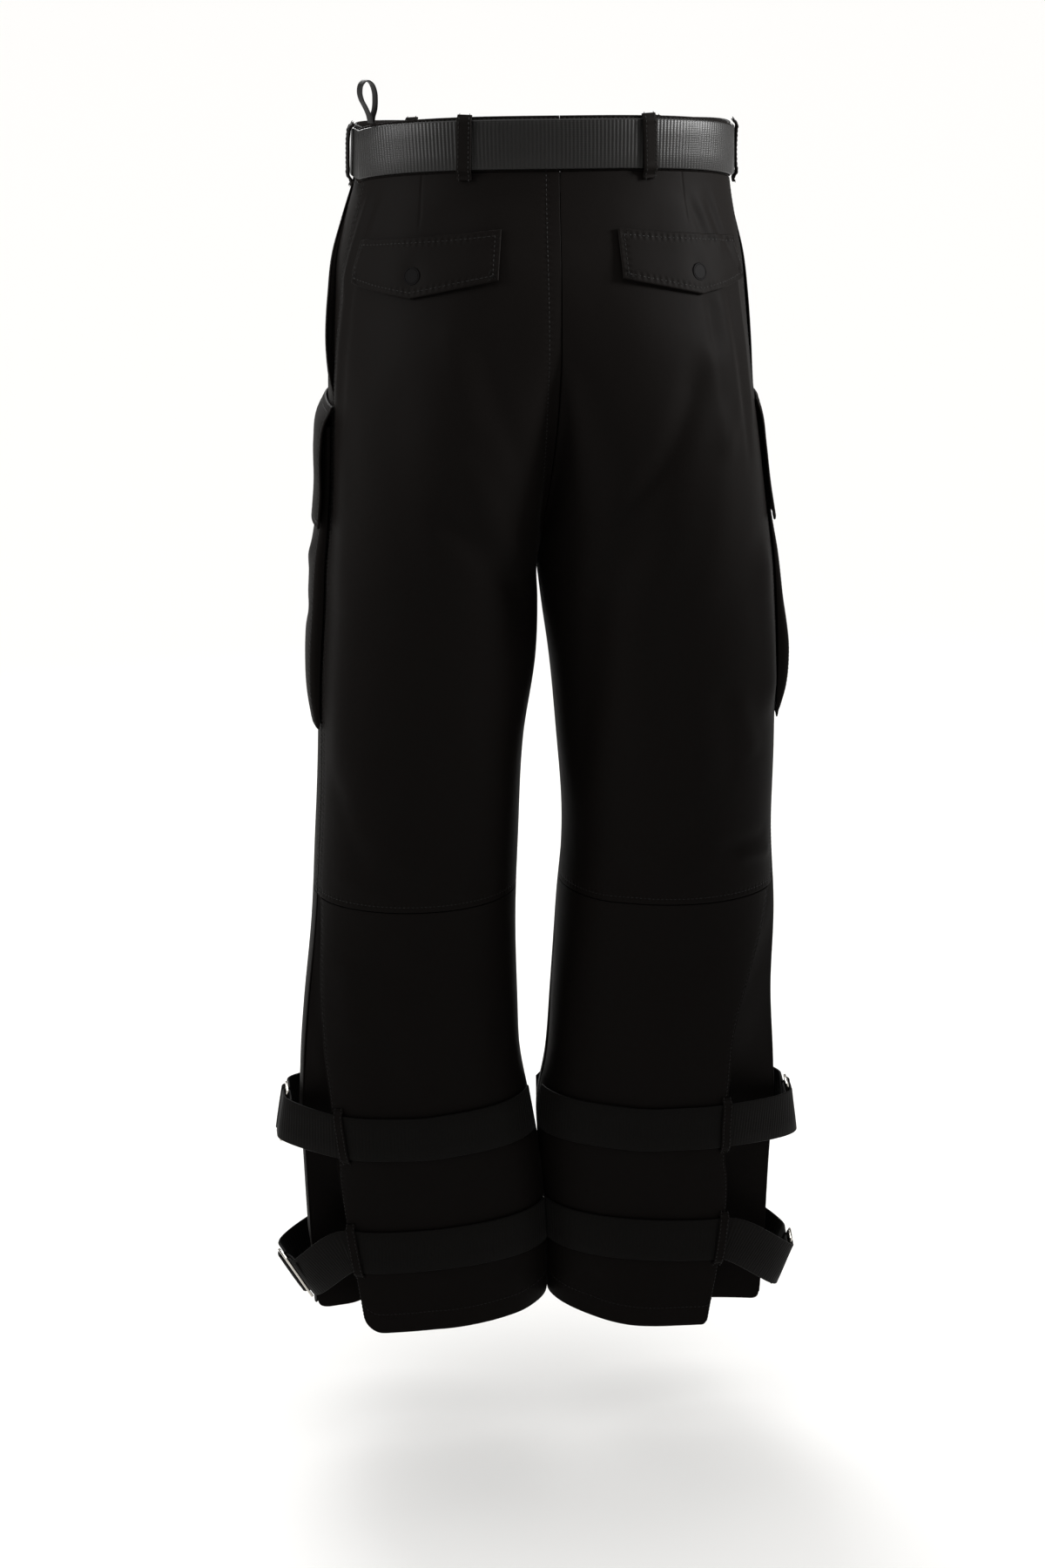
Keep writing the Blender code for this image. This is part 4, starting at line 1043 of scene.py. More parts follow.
# %% Bellows pockets
POUCH_U = (1.0, 1.62)
POUCH_COLUMNS = ("z", "left", "right")
POUCH = (
    (-250, 6.0, 1.0),
    (-300, 7.0, 1.4),
    (-335, 8.0, 2.4),
    (-360, 9.8, 4.0),
    (-410, 11.5, 7.0),
    (-465, 11.5, 12.5),
    (-495, 9.5, 10.0),
    (-522, 4.5, 1.6),
)
CARGO_FLAP_U = (0.965, 1.655)
CARGO_FLAP = (
    (-231, 0.8, 0.8),
    (-247, 8.3, 3.4),
    (-270, 11.0, 3.6),
    (-310, 10.2, 3.8),
    (-338, 10.7, 5.0),
)
FOLDED_EDGE = 4 * MM
CROWN = 0.2  # share of a pouch's height that is lost at its two sides
POUCH_GAP = LAY + 0.5 * MM
POUCH_CREASES = (
    (1, 1.05, -360, 1.30, -400, 9, 1.6), (1, 1.10, -420, 1.45, -450, 10, -1.8),
    (1, 1.50, -350, 1.40, -460, 9, -1.4), (1, 1.20, -470, 1.50, -490, 8, 1.4),
    (-1, 1.05, -370, 1.35, -415, 9, 1.4), (-1, 1.08, -440, 1.40, -470, 10, -1.8),
    (-1, 1.52, -360, 1.42, -470, 9, -1.4), (-1, 1.20, -480, 1.50, -495, 8, 1.2),
)


def off_leg(rows, side, z):
    values = table(POUCH_COLUMNS, rows)
    return curve(values["z"] * MM, values[SIDES[side]], z) * MM


def pouch_relief(side, u, z):
    inside = smoothstep(np.minimum(u - POUCH_U[0], POUCH_U[1] - u) / 0.1)
    return relief(side, u, z) + fold_height(POUCH_CREASES, side, u, z) * inside


def pocket_grid(ends, rows, down):
    """Grids of u and z between two values of u, from a table's first row to its last."""
    across, down = lattice(stations(0.19, 3.4), down)
    top, foot = rows[0][0] * MM, rows[-1][0] * MM
    return ends[0] + (ends[1] - ends[0]) * across, top + (foot - top) * down


def pouch_stand(side, u, z):
    """How far the pouch's inner face stands off the leg: its border is folded down to the leg."""
    crown = 1 - CROWN + CROWN * np.sin(np.pi * (u - POUCH_U[0]) / (POUCH_U[1] - POUCH_U[0]))
    stand = np.maximum(off_leg(POUCH, side, z) * crown, POUCH_GAP + 0.2 * MM)
    foot = POUCH[-1][0] * MM
    border = np.minimum(np.minimum(u - POUCH_U[0], POUCH_U[1] - u) * GIRTH, z - foot)
    folded = np.sqrt(1 - (1 - np.clip(border / FOLDED_EDGE, 0, 1)) ** 2)
    return POUCH_GAP + (stand - POUCH_GAP) * folded


both = ["cloth_back_panel", "cloth_front_panel"]
pouch_u, pouch_z = pocket_grid(POUCH_U, POUCH, stations(0.27, 3.6))
flap_u, flap_z = pocket_grid(CARGO_FLAP_U, CARGO_FLAP, stations(0.107, 3.0))
for side in SIDES:
    stand = pouch_stand(side, pouch_u, pouch_z)
    cloth(
        "cargo_pouch", side, pouch_u, pouch_z, stand, stand + WALL, both,
        rows=rows_at(EDGE_ROW, "start", "end", "foot"), framed=True, moved=pouch_relief,
        on_map=True,
    )
    stand = off_leg(CARGO_FLAP, side, flap_z)
    cloth(
        "cargo_flap", side, flap_u, flap_z, stand, stand + PLY, both,
        rows=ALL_ROUND, framed=True, moved=relief, round_to=1.0, on_map=True,
    )

# %% [markdown]
# The fly is closed. Its placket laps from the left over the front seam, with a curved foot.

# %% Fly
FLY_U = (1.83, 1.995)
FLY_STRAIGHT = -0.130  # z where its straight edge ends
FLY_CURVE = 0.085  # height of its curved foot
share, down = lattice(stations(0.05, 3.0), stations(0.16, 3.6))
u = FLY_U[0] + (FLY_U[1] - FLY_U[0]) * share
top = rise(u) - WAISTBAND - SEAM
foot = FLY_STRAIGHT - FLY_CURVE * np.sqrt(1 - (1 - share) ** 2)
cloth(
    "fly_placket", 1, u, top + (foot - top) * down, LAY, LAY + WALL, ["cloth_front_panel"],
    held="laid", rows=rows_at(5.0, "start", "foot"), framed=True, moved=relief, mirror=False,
)

# %% [markdown]
# ## Webbing
#
# Belt, straps, loops and keepers are strips swept along a path. The path is read again at even
# steps, so a rib is the same everywhere. The strip's edges are round. The ribs are made by
# Geometry Nodes: a wave along the strip moves each point of the broad faces out or in.

# %% Strips
RIB = 3.2 * MM  # the real ribs are about 2 mm apart, too fine to show in the picture
RIB_DEPTH = 0.2 * MM
RIB_STEPS = 4
ROUND_EDGE = np.array([1.0, 0.72, 0.35, 0.08]) * math.pi / 2  # angles round a strip's edge
EDGE_MARGIN = 0.9 * MM  # no ribs this near to an edge
LEAST_HALF = 0.03 * MM
LINE_POINTS = 90  # on the path of a strip, before it is read at even steps


def even(path, ways, step, ring):
    """The path and its width directions, at even steps."""
    if ring:
        path, ways = (np.concatenate([v, v[:1]]) for v in (path, ways))
    run = np.concatenate([[0], np.linalg.norm(np.diff(path, axis=0), axis=1).cumsum()])
    count = max(4, RIB_STEPS * round(run[-1] / (step * RIB_STEPS)))
    at = np.linspace(0, run[-1], count + 1)[: count if ring else count + 1]
    pick = [np.stack([np.interp(at, run, v[:, k]) for k in range(3)], axis=1) for v in (path, ways)]
    return pick[0], pick[1], at


def rounded_across(width, thick):
    """Places across a strip, and half its thickness there: the edges are round."""
    radius = thick / 2
    edge = width / 2 - radius * (1 - np.sin(ROUND_EDGE))
    half = radius * np.cos(ROUND_EDGE)
    places = np.concatenate([-edge, [-width / 6, width / 6], edge[::-1]])
    halves = np.concatenate([half, [radius, radius], half[::-1]])
    return places, np.maximum(halves, LEAST_HALF)


def strip(name, path, ways, width, thick, material, step=RIB / RIB_STEPS, ring=False):
    """A strip along a path, where ways gives the direction of its width.

    Returns it with its length, and its path with the ways across it and out of it.
    """
    path, ways, at = even(np.asarray(path, float), np.asarray(ways, float), step, ring)
    if ring:
        along = np.roll(path, -1, axis=0) - np.roll(path, 1, axis=0)
    else:
        along = np.gradient(path, axis=0)
    along /= np.linalg.norm(along, axis=1)[:, None]
    ways = ways - along * (ways * along).sum(axis=1)[:, None]
    ways /= np.linalg.norm(ways, axis=1)[:, None]
    out = np.cross(along, ways)
    places, halves = rounded_across(width, thick)
    middle = path[:, None, :] + ways[:, None, :] * places[None, :, None]
    swell = out[:, None, :] * halves[None, :, None]
    points = np.concatenate([(middle + swell).reshape(-1, 3), (middle - swell).reshape(-1, 3)])
    run, place = (v.ravel() for v in np.meshgrid(at, places, indexing="ij"))
    broad = (np.abs(place) < width / 2 - EDGE_MARGIN).astype(float)
    made = mesh_piece(
        name, points, shell_faces(len(path), len(places), ring), material,
        np.tile(np.stack([run, place], axis=1), (2, 1)),
        run=np.tile(run, 2), broad=np.tile(broad, 2), row_off=np.full(len(points), NO_ROW),
    )
    return made, float(at[-1]), (path, ways, out)


print("steps to a rib:", RIB_STEPS)

# %% The start and the end of a node tree
def new_rule(name, *sizes):
    """A Geometry Nodes tree with named sizes and a material as its inputs, and its first node."""
    tree = bpy.data.node_groups.new(name, "GeometryNodeTree")
    kinds = {"Geometry": "Geometry", **dict.fromkeys(sizes, "Float"), "Material": "Material"}
    for socket, kind in kinds.items():
        tree.interface.new_socket(socket, in_out="INPUT", socket_type="NodeSocket" + kind)
    tree.interface.new_socket("Geometry", in_out="OUTPUT", socket_type="NodeSocketGeometry")
    return tree, add(tree, "NodeGroupInput")


def end_rule(tree, geometry, material):
    """The end of a tree: instances are made real, shaded smooth and given their material."""
    real = add(tree, "GeometryNodeRealizeInstances", {"Geometry": geometry})
    soft = add(tree, "GeometryNodeSetShadeSmooth", {"Geometry": real.outputs[0]})
    made_of = {"Geometry": soft.outputs[0], "Material": material}
    coated = add(tree, "GeometryNodeSetMaterial", made_of)
    add(tree, "NodeGroupOutput", {"Geometry": coated.outputs[0]})
    print("tree:", tree.name, "nodes:", len(tree.nodes))


# %% A node tree that weaves ribs into a strip
ribs, given = new_rule("woven ribs", "Pitch", "Depth")
run = add(ribs, "GeometryNodeInputNamedAttribute", {"Name": "run"}, data_type="FLOAT")
broad = add(ribs, "GeometryNodeInputNamedAttribute", {"Name": "broad"}, data_type="FLOAT")
turns = add(
    ribs, "ShaderNodeMath", {0: run.outputs[0], 1: given.outputs["Pitch"]}, operation="DIVIDE"
)
angle = add(ribs, "ShaderNodeMath", {0: turns.outputs[0], 1: 2 * math.pi}, operation="MULTIPLY")
wave = add(ribs, "ShaderNodeMath", {0: angle.outputs[0]}, operation="SINE")
deep = add(
    ribs, "ShaderNodeMath", {0: wave.outputs[0], 1: given.outputs["Depth"]}, operation="MULTIPLY"
)
kept = add(ribs, "ShaderNodeMath", {0: deep.outputs[0], 1: broad.outputs[0]}, operation="MULTIPLY")
facing = add(ribs, "GeometryNodeInputNormal")
shift = add(
    ribs, "ShaderNodeVectorMath", {0: facing.outputs[0], "Scale": kept.outputs[0]},
    operation="SCALE",
)
moved = add(
    ribs, "GeometryNodeSetPosition",
    {"Geometry": given.outputs["Geometry"], "Offset": shift.outputs[0]},
)
end_rule(ribs, moved.outputs[0], given.outputs["Material"])


def baked(piece, tree, **values):
    """Runs a node tree on a piece, keeps the result as its mesh, and removes the modifier."""
    modifier = piece.modifiers.new(tree.name, "NODES")
    modifier.node_group = tree
    for item in tree.interface.items_tree:
        if item.in_out == "INPUT" and item.name in values:
            modifier[item.identifier] = values[item.name]
    view = bpy.context.evaluated_depsgraph_get()
    mesh = bpy.data.meshes.new_from_object(piece.evaluated_get(view), depsgraph=view)
    piece.modifiers.remove(modifier)
    piece.data = mesh
    return piece


def webbing(node, path, ways, width, thick, material, ring=False):
    """A ribbed strip that replaces the solid of that name."""
    made, length, _ = strip("woven_" + node, path, ways, width, thick, material, ring=ring)
    baked(made, ribs, Pitch=RIB, Depth=RIB_DEPTH, Material=material)
    dress(made, "webbing", node)
    print(f"{node}: {length:.3f} m, {len(made.data.polygons)} faces")

# %% [markdown]
# The belt lies round the waistband, 2.5 mm below its top, and is held by six loops. Its free end
# passes the metal slide at the front and lies over the belt.

# %% Belt
BELT = 40 * MM
BELT_THICK = 2.4 * MM
BELT_BELOW_TOP = 2.5 * MM
BELT_TIP_U = (1.70, 2.12)
BELT_START = 0.004  # u of the belt's first and last place beside the seams


def on_band(side, u, lift):
    """The middle of the belt at each u, and the direction of its width."""
    z = rise(u) - BELT_BELOW_TOP - BELT / 2
    middle = surface(side, u, z) + normal(side, u, z) * lift
    return middle, surface(side, u, z + BELT / 2) - surface(side, u, z - BELT / 2)


def round_waist(count, lift):
    at = np.linspace(BELT_START, 2 - BELT_START, count)
    halves = [on_band(side, at, lift) for side in (1, -1)]
    return [np.concatenate([halves[0][k], halves[1][k][::-1]]) for k in (0, 1)]


path, ways = round_waist(500, LAY + BELT_THICK / 2)
webbing("belt", path, ways, BELT, BELT_THICK, BELT_WEBBING, ring=True)
path, ways = on_band(1, np.linspace(*BELT_TIP_U, LINE_POINTS), 2 * LAY + 1.5 * BELT_THICK)
webbing("belt_tip", path, ways, BELT, BELT_THICK, BELT_WEBBING)

# %% [markdown]
# A belt loop is a narrow band of cloth, sewn down above and below the belt. It is bent over the
# belt's edges, so its path is a smooth line through a short table of stations.

# %% Belt loops
LOOP_COLUMNS = ("down", "off", "bow")
LOOP = (
    (-1.6, 1.9, 0),
    (0.2, 3.2, 0),
    (2.0, 4.9, 0),
    (8, 5.2, 0.6),
    (22, 5.2, 1),
    (36, 5.2, 0.7),
    (43, 4.9, 0.2),
    (45, 3.2, 0),
    (47, 1.9, 0),
    (50.5, 1.9, 0),
)
LOOP_WIDTH = 12.5 * MM
LOOP_ROWS = 4.2 * MM  # from the loop's middle to each row of stitches
# name, u, and how many millimetres the loop bows out on each side, or lies closer where below 0
BELT_LOOPS = (
    ("back", 0.405, {1: 0, -1: 0}),
    ("side", 1.09, {1: 1.5, -1: -0.7}),
    ("front", 1.56, {1: 0.5, -1: 0.5}),
)
BAND_STEP = 0.9 * MM
THREAD_LIFT = 0.05 * MM


def smooth(points, count):
    """A smooth line through points."""
    points = np.asarray(points, float)
    run = np.concatenate([[0], np.linalg.norm(np.diff(points, axis=0), axis=1).cumsum()])
    at = np.linspace(0, run[-1], count)
    return np.stack([curve(run, points[:, k], at) for k in range(points.shape[1])], axis=1)


def band_piece(node, side, u, z, lift, width, thick, inset):
    """A band of cloth down the leg, at heights above it, with a row of stitches along each edge."""
    out = normal(side, u, z)
    ways = surface(side, u + 0.01, z) - surface(side, u - 0.01, z)
    path = surface(side, u, z) + out * lift[:, None]
    made, length, (line, across, facing) = strip(
        "cloth_" + node, path, ways, width, thick, COTTON, step=BAND_STEP
    )
    dress(made, "cotton_satin", node)
    facing = facing * np.sign((facing * out[len(out) // 2]).sum(axis=1))[:, None]
    for sign in (1, -1):
        row = line + across * sign * inset + facing * (thick / 2 + THREAD_LIFT)
        ROWS[SIDES[side]].append(row)


loop = table(LOOP_COLUMNS, smooth(LOOP, 70))
for side in SIDES:
    for name, u, bow in BELT_LOOPS:
        at = np.full(len(loop["down"]), u)
        z = rise(at) - loop["down"] * MM
        lift = (loop["off"] + bow[side] * loop["bow"]) * MM
        band_piece(f"belt_loop_{name}_{SIDES[side]}", side, at, z, lift, LOOP_WIDTH, PLY, LOOP_ROWS)

# %% [markdown]
# The hang loop is a ribbon, doubled over and caught in the top of the waistband. Its path is a
# table of places in an upright plane, which is turned to where the photograph shows the loop.

# %% Hang loop
HANG_LOOP = (
    (0.7, 0), (2.5, 7), (6, 14), (9.5, 20), (11, 26), (9.5, 32.5), (5, 35.5),
    (0, 33), (-3.4, 26), (-4, 19), (-3.2, 11), (-1.2, 5), (-0.7, 0),
)
HANG_U = 0.915
HANG_TURN = math.radians(30)
RIBBON_WIDTH = 8 * MM
RIBBON_THICK = 0.9 * MM
foot = raised(1, np.array([[HANG_U]]), np.array([[rise(HANG_U) + 1.2 * MM]]), -PLY / 2).reshape(3)
sideways = np.array([math.cos(HANG_TURN), math.sin(HANG_TURN), 0])
rows = smooth(np.array(HANG_LOOP) * MM, 120)
path = foot + rows[:, :1] * sideways + rows[:, 1:] * np.array([0, 0, 1])
ways = np.tile([-math.sin(HANG_TURN), math.cos(HANG_TURN), 0], (len(path), 1))
loop, length, _ = strip(
    "ribbon_hang_loop", path, ways, RIBBON_WIDTH, RIBBON_THICK, RIBBON, step=0.8 * MM
)
dress(loop, "ribbon", "hang_loop")
print("hang loop:", round(length, 3), "m of ribbon, too narrow to be a sheet")

# %% [markdown]
# Each leg has two straps. The back length is sewn in at the inseam, lies on the back panel, passes
# under its keeper, and is sewn round the middle bar of the slide. The front length comes round
# from the front and through the slide. The ends round the bars are stations measured along the
# strap and out from it.

# %% Leg straps
STRAP = 42 * MM
STRAP_THICK = 2.0 * MM
STRAP_GAP = LAY + 0.7 * MM
FRONT_LENGTH_U = (1.3, 1.9)
FREE_POINTS = 24  # on the free length between the leg and the slide
FREE_REACH = 0.2  # share of the free length's span over which it keeps the way of each end
# A strap's end round a bar of its slide, a row for each station: millimetres along the strap from
# the slide's middle, and out from it. The back length is sewn round the middle bar, with its tail
# underneath; the front length passes round the front bar, with its tail outside.
BACK_END = (
    (-13, -2.8), (-9.7, -2.8), (-6.7, -2.3), (-4.6, -0.1), (-3.1, 2.0), (-1.1, 2.8),
    (1.1, 2.8), (2.7, 2.1), (3.2, 0), (2.7, -2.1), (0.7, -3.4), (-3.5, -4.7), (-10, -5.3),
    (-22, -5.3),
)
# Where no bar is seen in the photograph, the back length passes over the first bar instead, and
# its tail lies underneath.
COVERING_END = (
    (-12, 2.9), (-9.7, 2.9), (-6, 2.9), (-3, 2.9), (-1.1, 2.8), (1.1, 2.8), (2.7, 2.1), (3.2, 0),
    (2.7, -2.1), (0.7, -2.8), (-3.5, -2.9), (-10, -2.9), (-22, -2.9),
)
FRONT_END = (
    (16, 0.2), (14.2, 1.7), (11.5, 2.8), (8.2, 2.8), (6.8, 1.5), (6.7, -1.4),
    (8.1, -3.0), (11, -3.1), (19, -3.1), (26, -3.1),
)

# A slide on its leg, a row each: its middle, how far its top leans out, and the way the strap
# heads there, in degrees from straight forward towards the leg's outer side.
# turned: how far slide and strap ends are turned outwards here, from where the solids have them.
# covered: 1 where the strap covers the slide's first bar.
SLIDE_COLUMNS = ("side", "level", "x", "y", "z", "lean", "heading", "turned", "covered")
SLIDES = (
    (1, 0, 241, 6, -896, -9, -2, 4, 1),
    (-1, 0, 231, 6, -908, -8, 0, 4, 1),
    (1, 1, 233.5, 12, -1058, 30, -4, 20, 0),
    (-1, 1, 226, 12, -1062, 21, -2, 8, 1),
)
STRAP_NAMES = ("upper", "lower")
FIRST_SHARE = 1 / 11 + 0.01  # where the back length starts, as a share of the back panel
SHARES = np.linspace(0, 1, FREE_POINTS + 2)[1:-1, None]


def slide_place(row):
    """A slide's row as a dictionary, its name and its middle."""
    place = dict(zip(SLIDE_COLUMNS, row))
    name = f"{STRAP_NAMES[place['level']]}_{SIDES[place['side']]}"
    return place, name, np.array([place["side"] * place["x"], place["y"], place["z"]]) * MM


def bend(start, leave, arrive, end):
    """Points on a smooth curve between two places, left and reached in the ways given."""
    t = SHARES
    reach = FREE_REACH * np.linalg.norm(end - start)
    a, b = start + leave * reach, end - arrive * reach
    return (1 - t) ** 3 * start + 3 * (1 - t) ** 2 * t * a + 3 * (1 - t) * t**2 * b + t**3 * end


def on_leg(side, u, z):
    """A strap's stations on the cloth, and the way up the cloth there, about one long."""
    lift = (STRAP_GAP + STRAP_THICK / 2 + relief(side, u, z))[:, None]
    centres = surface(side, u, z) + normal(side, u, z) * lift
    up = surface(side, u, z + 10 * MM) - surface(side, u, z - 10 * MM)
    return centres, up / (20 * MM)


def turned_out(place, way):
    """A direction at a slide, turned about the upright as its row says."""
    angle = place["side"] * math.radians(place["turned"])
    c, s = math.cos(angle), math.sin(angle)
    return np.array([c * way[0] - s * way[1], s * way[0] + c * way[1], way[2]])


def leg_strap(row):
    """The back length and the front length of one strap."""
    place, name, middle = slide_place(row)
    side, level = place["side"], place["level"]
    lean, heading = math.radians(place["lean"]), math.radians(place["heading"])
    along = np.array([side * math.sin(heading), -math.cos(heading), 0])
    up = np.array([side * math.sin(lean), 0, math.cos(lean)])
    up = unit(up - along * np.dot(up, along))
    out = np.cross(along, up)
    out *= np.sign(out[0] * side)
    along, up, out = (turned_out(place, way) for way in (along, up, out))

    def round_bars(rows):
        rows = smooth(rows, LINE_POINTS) * MM
        return middle + rows[:, :1] * along + rows[:, 1:] * out

    inner_z, keeper_z, front_z = STRAP_LINES[level]
    share = np.linspace(FIRST_SHARE, 1, 120)
    z = inner_z + (keeper_z - inner_z) * smoothstep(share)
    lying, lying_up = on_leg(side, lower_back_u(side, share, z), z)
    hook = round_bars(COVERING_END if place["covered"] else BACK_END)
    ups = np.broadcast_to(up, hook.shape)
    free = bend(lying[-1], unit(lying[-1] - lying[-2]), along, hook[0])
    free_up = (1 - SHARES) * unit(lying_up[-1]) + SHARES * up
    path, ways = np.concatenate([lying, free, hook]), np.concatenate([lying_up, free_up, ups])
    webbing(f"strap_back_{name}", path, ways, STRAP, STRAP_THICK, STRAP_WEBBING)

    u = np.linspace(*FRONT_LENGTH_U, LINE_POINTS)
    lying, lying_up = on_leg(side, u, front_z + 0 * u)
    hook = round_bars(FRONT_END)
    ups = np.broadcast_to(up, hook.shape)
    free = bend(hook[-1], along, unit(lying[1] - lying[0]), lying[0])
    free_up = (1 - SHARES) * up + SHARES * unit(lying_up[0])
    path, ways = np.concatenate([hook, free, lying]), np.concatenate([ups, free_up, lying_up])
    webbing(f"strap_front_{name}", path, ways, STRAP, STRAP_THICK, STRAP_WEBBING)


for row in SLIDES:
    leg_strap(row)

# %% [markdown]
# A keeper is a narrow band of cloth that stands over a strap, a little taller than the strap.

# %% Keepers
KEEPER = (
    (26.5, 1.15), (24.6, 1.5), (23, 4.0), (18, 5.3), (0, 5.6), (-18, 5.3), (-23, 4.0),
    (-24.6, 1.5), (-26.5, 1.15),
)
KEEPER_IN = {1: (0.034, 0.016), -1: (0.008, 0.008)}  # u from the back panel's free edge, by level
KEEPER_WIDTH = 9 * MM
KEEPER_THICK = 1.4 * MM
KEEPER_ROWS = 3.2 * MM
along, off = (smooth(KEEPER, 80) * MM).T
for side in SIDES:
    for level, name in enumerate(STRAP_NAMES):
        z = STRAP_LINES[level][1] + along
        at = gore_edge(side, z) - KEEPER_IN[side][level]
        band_piece(
            f"keeper_{name}_{SIDES[side]}", side, at, z, off + relief(side, at, z),
            KEEPER_WIDTH, KEEPER_THICK, KEEPER_ROWS,
        )
print("keepers:", KEEPER_WIDTH, "m wide, too narrow to be sheets")

# %% [markdown]
# ## Metal
#
# The slides' solids have the right shape but sharp corners. A copy is merged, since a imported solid
# comes as loose triangles, its flat faces are joined, and its edges are rounded with a bevel.

# %% Slides
SLIDE_EDGE = 0.8 * MM
FLAT_ANGLE = math.radians(2)  # faces that meet at less are one face
EDGE_ANGLE = math.radians(30)  # faces that meet at more get a rounded edge
SLIDE_SMOOTH = math.radians(35)  # a slide is shaded smooth over edges of less
WELD = 0.01 * MM  # points closer than this are one


def rounded_copy(node):
    """A copy of a slide's solid, with rounded edges and a nickel finish."""
    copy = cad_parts[node].data.copy()
    work = bmesh.new()
    work.from_mesh(copy)
    bmesh.ops.remove_doubles(work, verts=work.verts, dist=WELD)
    bmesh.ops.dissolve_limit(work, angle_limit=FLAT_ANGLE, verts=work.verts, edges=work.edges)
    sharp = [e for e in work.edges if e.is_manifold and e.calc_face_angle() > EDGE_ANGLE]
    bmesh.ops.bevel(work, geom=sharp, offset=SLIDE_EDGE, segments=3, profile=0.5, affect="EDGES")
    work.to_mesh(copy)
    work.free()
    copy.shade_smooth()
    copy.set_sharp_from_angle(angle=SLIDE_SMOOTH)
    copy.materials.clear()
    copy.materials.append(NICKEL)
    return dress(placed("metal_" + node, copy), "nickel", node)


rounded_copy("belt_slide")
for row in SLIDES:
    place, name, middle = slide_place(row)
    piece = rounded_copy("slide_" + name)
    for corner in piece.data.vertices:
        corner.co = turned_out(place, np.array(corner.co) - middle) + middle
    print(piece.name, len(piece.data.polygons), "faces")

# %% [markdown]
# A snap's cap is turned: a flat disc with a raised ring, swept once round its axis.

# %% Snaps
# distance from the axis and height, in millimetres
CAP = (
    (0.0, 0.9), (5.6, 0.9), (5.9, 0.7), (6.2, 0.7), (6.5, 1.0), (6.9, 1.0), (7.3, 0.7), (7.5, 0.3),
    (7.3, 0.0), (0.0, 0.0),
)
CAP_STEPS = 40  # round its axis
CAP_SMOOTH = math.radians(25)


def cap(name, side, u, z, lift):
    """A snap's cap on a flap, at a height above the leg."""
    out = Vector(normal(side, u, z)[0])
    foot = Vector(surface(side, u, z)[0]) + out * lift
    spoke = out.cross((0, 0, 1)).normalized()
    work = bmesh.new()
    line = [work.verts.new(foot + spoke * r * MM + out * h * MM) for r, h in CAP]
    edges = [work.edges.new(pair) for pair in zip(line, line[1:])]
    bmesh.ops.spin(work, geom=line + edges, cent=foot, axis=out, angle=2 * math.pi, steps=CAP_STEPS)
    bmesh.ops.remove_doubles(work, verts=work.verts, dist=WELD)
    bmesh.ops.recalc_face_normals(work, faces=work.faces)
    mesh = bpy.data.meshes.new(name)
    work.to_mesh(mesh)
    work.free()
    mesh.shade_smooth()
    mesh.set_sharp_from_angle(angle=CAP_SMOOTH)
    mesh.materials.append(ENAMEL)
    dress(placed("metal_" + name, mesh), "black_metal", name)


CARGO_SNAP_Z = -0.316
CARGO_SNAP_U = sum(CARGO_FLAP_U) / 2
SNAP_GAP = 0.1 * MM
for side in SIDES:
    at = np.array([FLAP_POINT]), np.array([SNAP_Z])
    lift = LAY + PLY + float(flap_relief(side, *at)[0])
    cap(f"back_snap_{SIDES[side]}", side, FLAP_POINT, SNAP_Z, lift + SNAP_GAP)
    at = np.array([CARGO_SNAP_U]), np.array([CARGO_SNAP_Z])
    lift = float((off_leg(CARGO_FLAP, side, CARGO_SNAP_Z) + relief(side, *at))[0]) + PLY
    cap(f"cargo_snap_{SIDES[side]}", side, CARGO_SNAP_U, CARGO_SNAP_Z, lift + SNAP_GAP)
print("snaps: 4, of", 2 * max(reach for reach, high in CAP), "mm")

# %% [markdown]
# Of the zip, only a strip of tape lies behind the closed placket. Its solid has the right shape
# already, so it stays and only gets its material.

# %% Zip
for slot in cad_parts["fly_zip"].material_slots:
    slot.material = TAPE
print("zip:", TAPE.name)

# %% [markdown]
# ## Sewing
#
# Every row of stitches so far is a line of points. Geometry Nodes walk along each line and put
# down one small stitch for each step. A stitch is a long, thin sphere with 20 faces, because
# there are thousands of them. Real thread is about 0.3 mm thick: it is drawn coarser, so that it
# shows.

# %% A node tree that sews
PITCH = 3.8 * MM
STITCH = (3.0 * MM, 0.75 * MM)  # length and thickness
sewn, given = new_rule("sewn rows", "Pitch", "Length", "Thickness")
line = add(sewn, "GeometryNodeMeshToCurve", {"Mesh": given.outputs["Geometry"]})
steps = add(sewn, "GeometryNodeResampleCurve", {"Curve": line.outputs[0]})
steps.mode = "LENGTH"
sewn.links.new(given.outputs["Pitch"], steps.inputs["Length"])
ball = add(sewn, "GeometryNodeMeshIcoSphere", {"Radius": 0.5, "Subdivisions": 1})
shape = add(
    sewn, "ShaderNodeCombineXYZ",
    {0: given.outputs["Length"], 1: given.outputs["Thickness"], 2: given.outputs["Thickness"]},
)
stitch = add(
    sewn, "GeometryNodeTransform", {"Geometry": ball.outputs["Mesh"], "Scale": shape.outputs[0]}
)
tangent = add(sewn, "GeometryNodeInputTangent")
turned = add(
    sewn, "FunctionNodeAlignRotationToVector", {"Vector": tangent.outputs[0]}, axis="X"
)
copies = add(
    sewn, "GeometryNodeInstanceOnPoints",
    {"Points": steps.outputs[0], "Instance": stitch.outputs[0], "Rotation": turned.outputs[0]},
)
end_rule(sewn, copies.outputs[0], given.outputs["Material"])

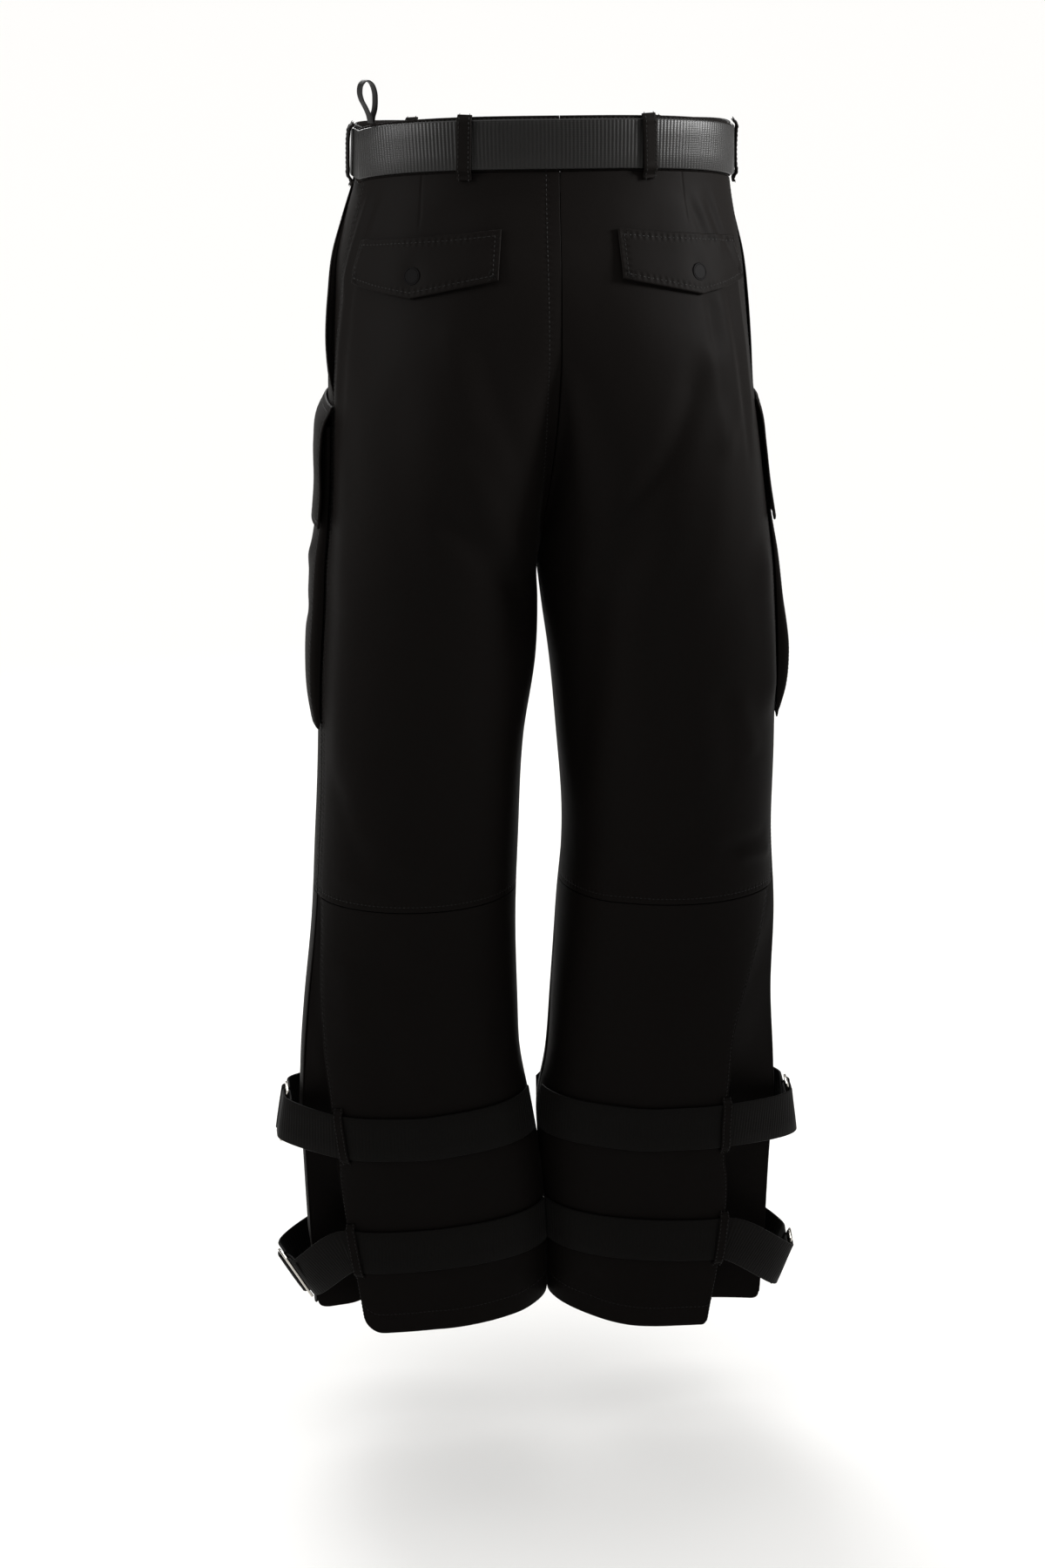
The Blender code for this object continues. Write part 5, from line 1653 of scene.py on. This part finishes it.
# %% All the rows, sewn
for name, lines in ROWS.items():
    mesh = bpy.data.meshes.new(f"rows_{name}")
    points, edges, start = [], [], 0
    for path in lines:
        points += [tuple(p) for p in path]
        edges += [(start + k, start + k + 1) for k in range(len(path) - 1)]
        start += len(path)
    mesh.from_pydata(points, edges, [])
    stitches = placed(f"stitches_{name}", mesh)
    baked(stitches, sewn, Pitch=PITCH, Length=STITCH[0], Thickness=STITCH[1], Material=THREAD)
    dress(stitches, "cotton_satin")
    print(f"{stitches.name}: {len(lines)} rows, {len(stitches.data.polygons) // 20} stitches")

# %% [markdown]
# ## Floor and light
#
# The photograph was taken in a bright, white studio. A soft box stands to the left and one to the
# right, a little nearer to the camera, with its beam on the waist: the two give the belt and the
# hips their lighter ends. A large one lights the hidden front. A sun as wide as a white ceiling
# lights the rest, and a weak world keeps the shadows from going black.

# %% Floor, light and world
FLOOR_Z = -1.2124
FLOOR_REACH = 30.0
SKY = 0.12
SUN = 3.2
SUN_WIDTH = math.radians(120)
floor_mesh = bpy.data.meshes.new("floor")
ways = ((-1, -1), (1, -1), (1, 1), (-1, 1))
corners = [(x * FLOOR_REACH, y * FLOOR_REACH, FLOOR_Z) for x, y in ways]
floor_mesh.from_pydata(corners, [], [(0, 1, 2, 3)])
floor_mesh.materials.append(finish("matt white paint", "#f4f3f1", 0.8)[0])
placed("floor", floor_mesh)

# place and size in metres, power in watts, spread of the beam in degrees
LIGHT_COLUMNS = ("name", "x", "y", "z", "size", "power", "spread")
LIGHTS = (
    ("soft box left", 1.8, 0.35, 0.5, 1.0, 3.8, 34),
    ("soft box right", -1.8, 0.35, 0.55, 0.6, 4.3, 26),
    ("soft box front", 0.5, -2.8, 1.0, 1.6, 30, 120),
)
AIM = Vector((0, 0, 0))
for row in LIGHTS:
    light = dict(zip(LIGHT_COLUMNS, row))
    data = bpy.data.lights.new(light["name"], "AREA")
    data.size = light["size"]
    data.energy = light["power"]
    data.spread = math.radians(light["spread"])
    lamp = placed(light["name"], data)
    lamp.location = (light["x"], light["y"], light["z"])
    lamp.rotation_euler = (AIM - lamp.location).to_track_quat("-Z", "Y").to_euler()

world = bpy.data.worlds.new("studio")
world.use_nodes = True
sky = world.node_tree.nodes["Background"]
sky.inputs["Color"].default_value = linear("#ffffff")
sky.inputs["Strength"].default_value = SKY
sun = bpy.data.lights.new("sky light", "SUN")
sun.energy = SUN
sun.angle = SUN_WIDTH
placed("sky light", sun)
bpy.context.scene.world = world
bpy.context.scene.view_settings.view_transform = "Standard"
print("lights:", len(LIGHTS), "and a sun")
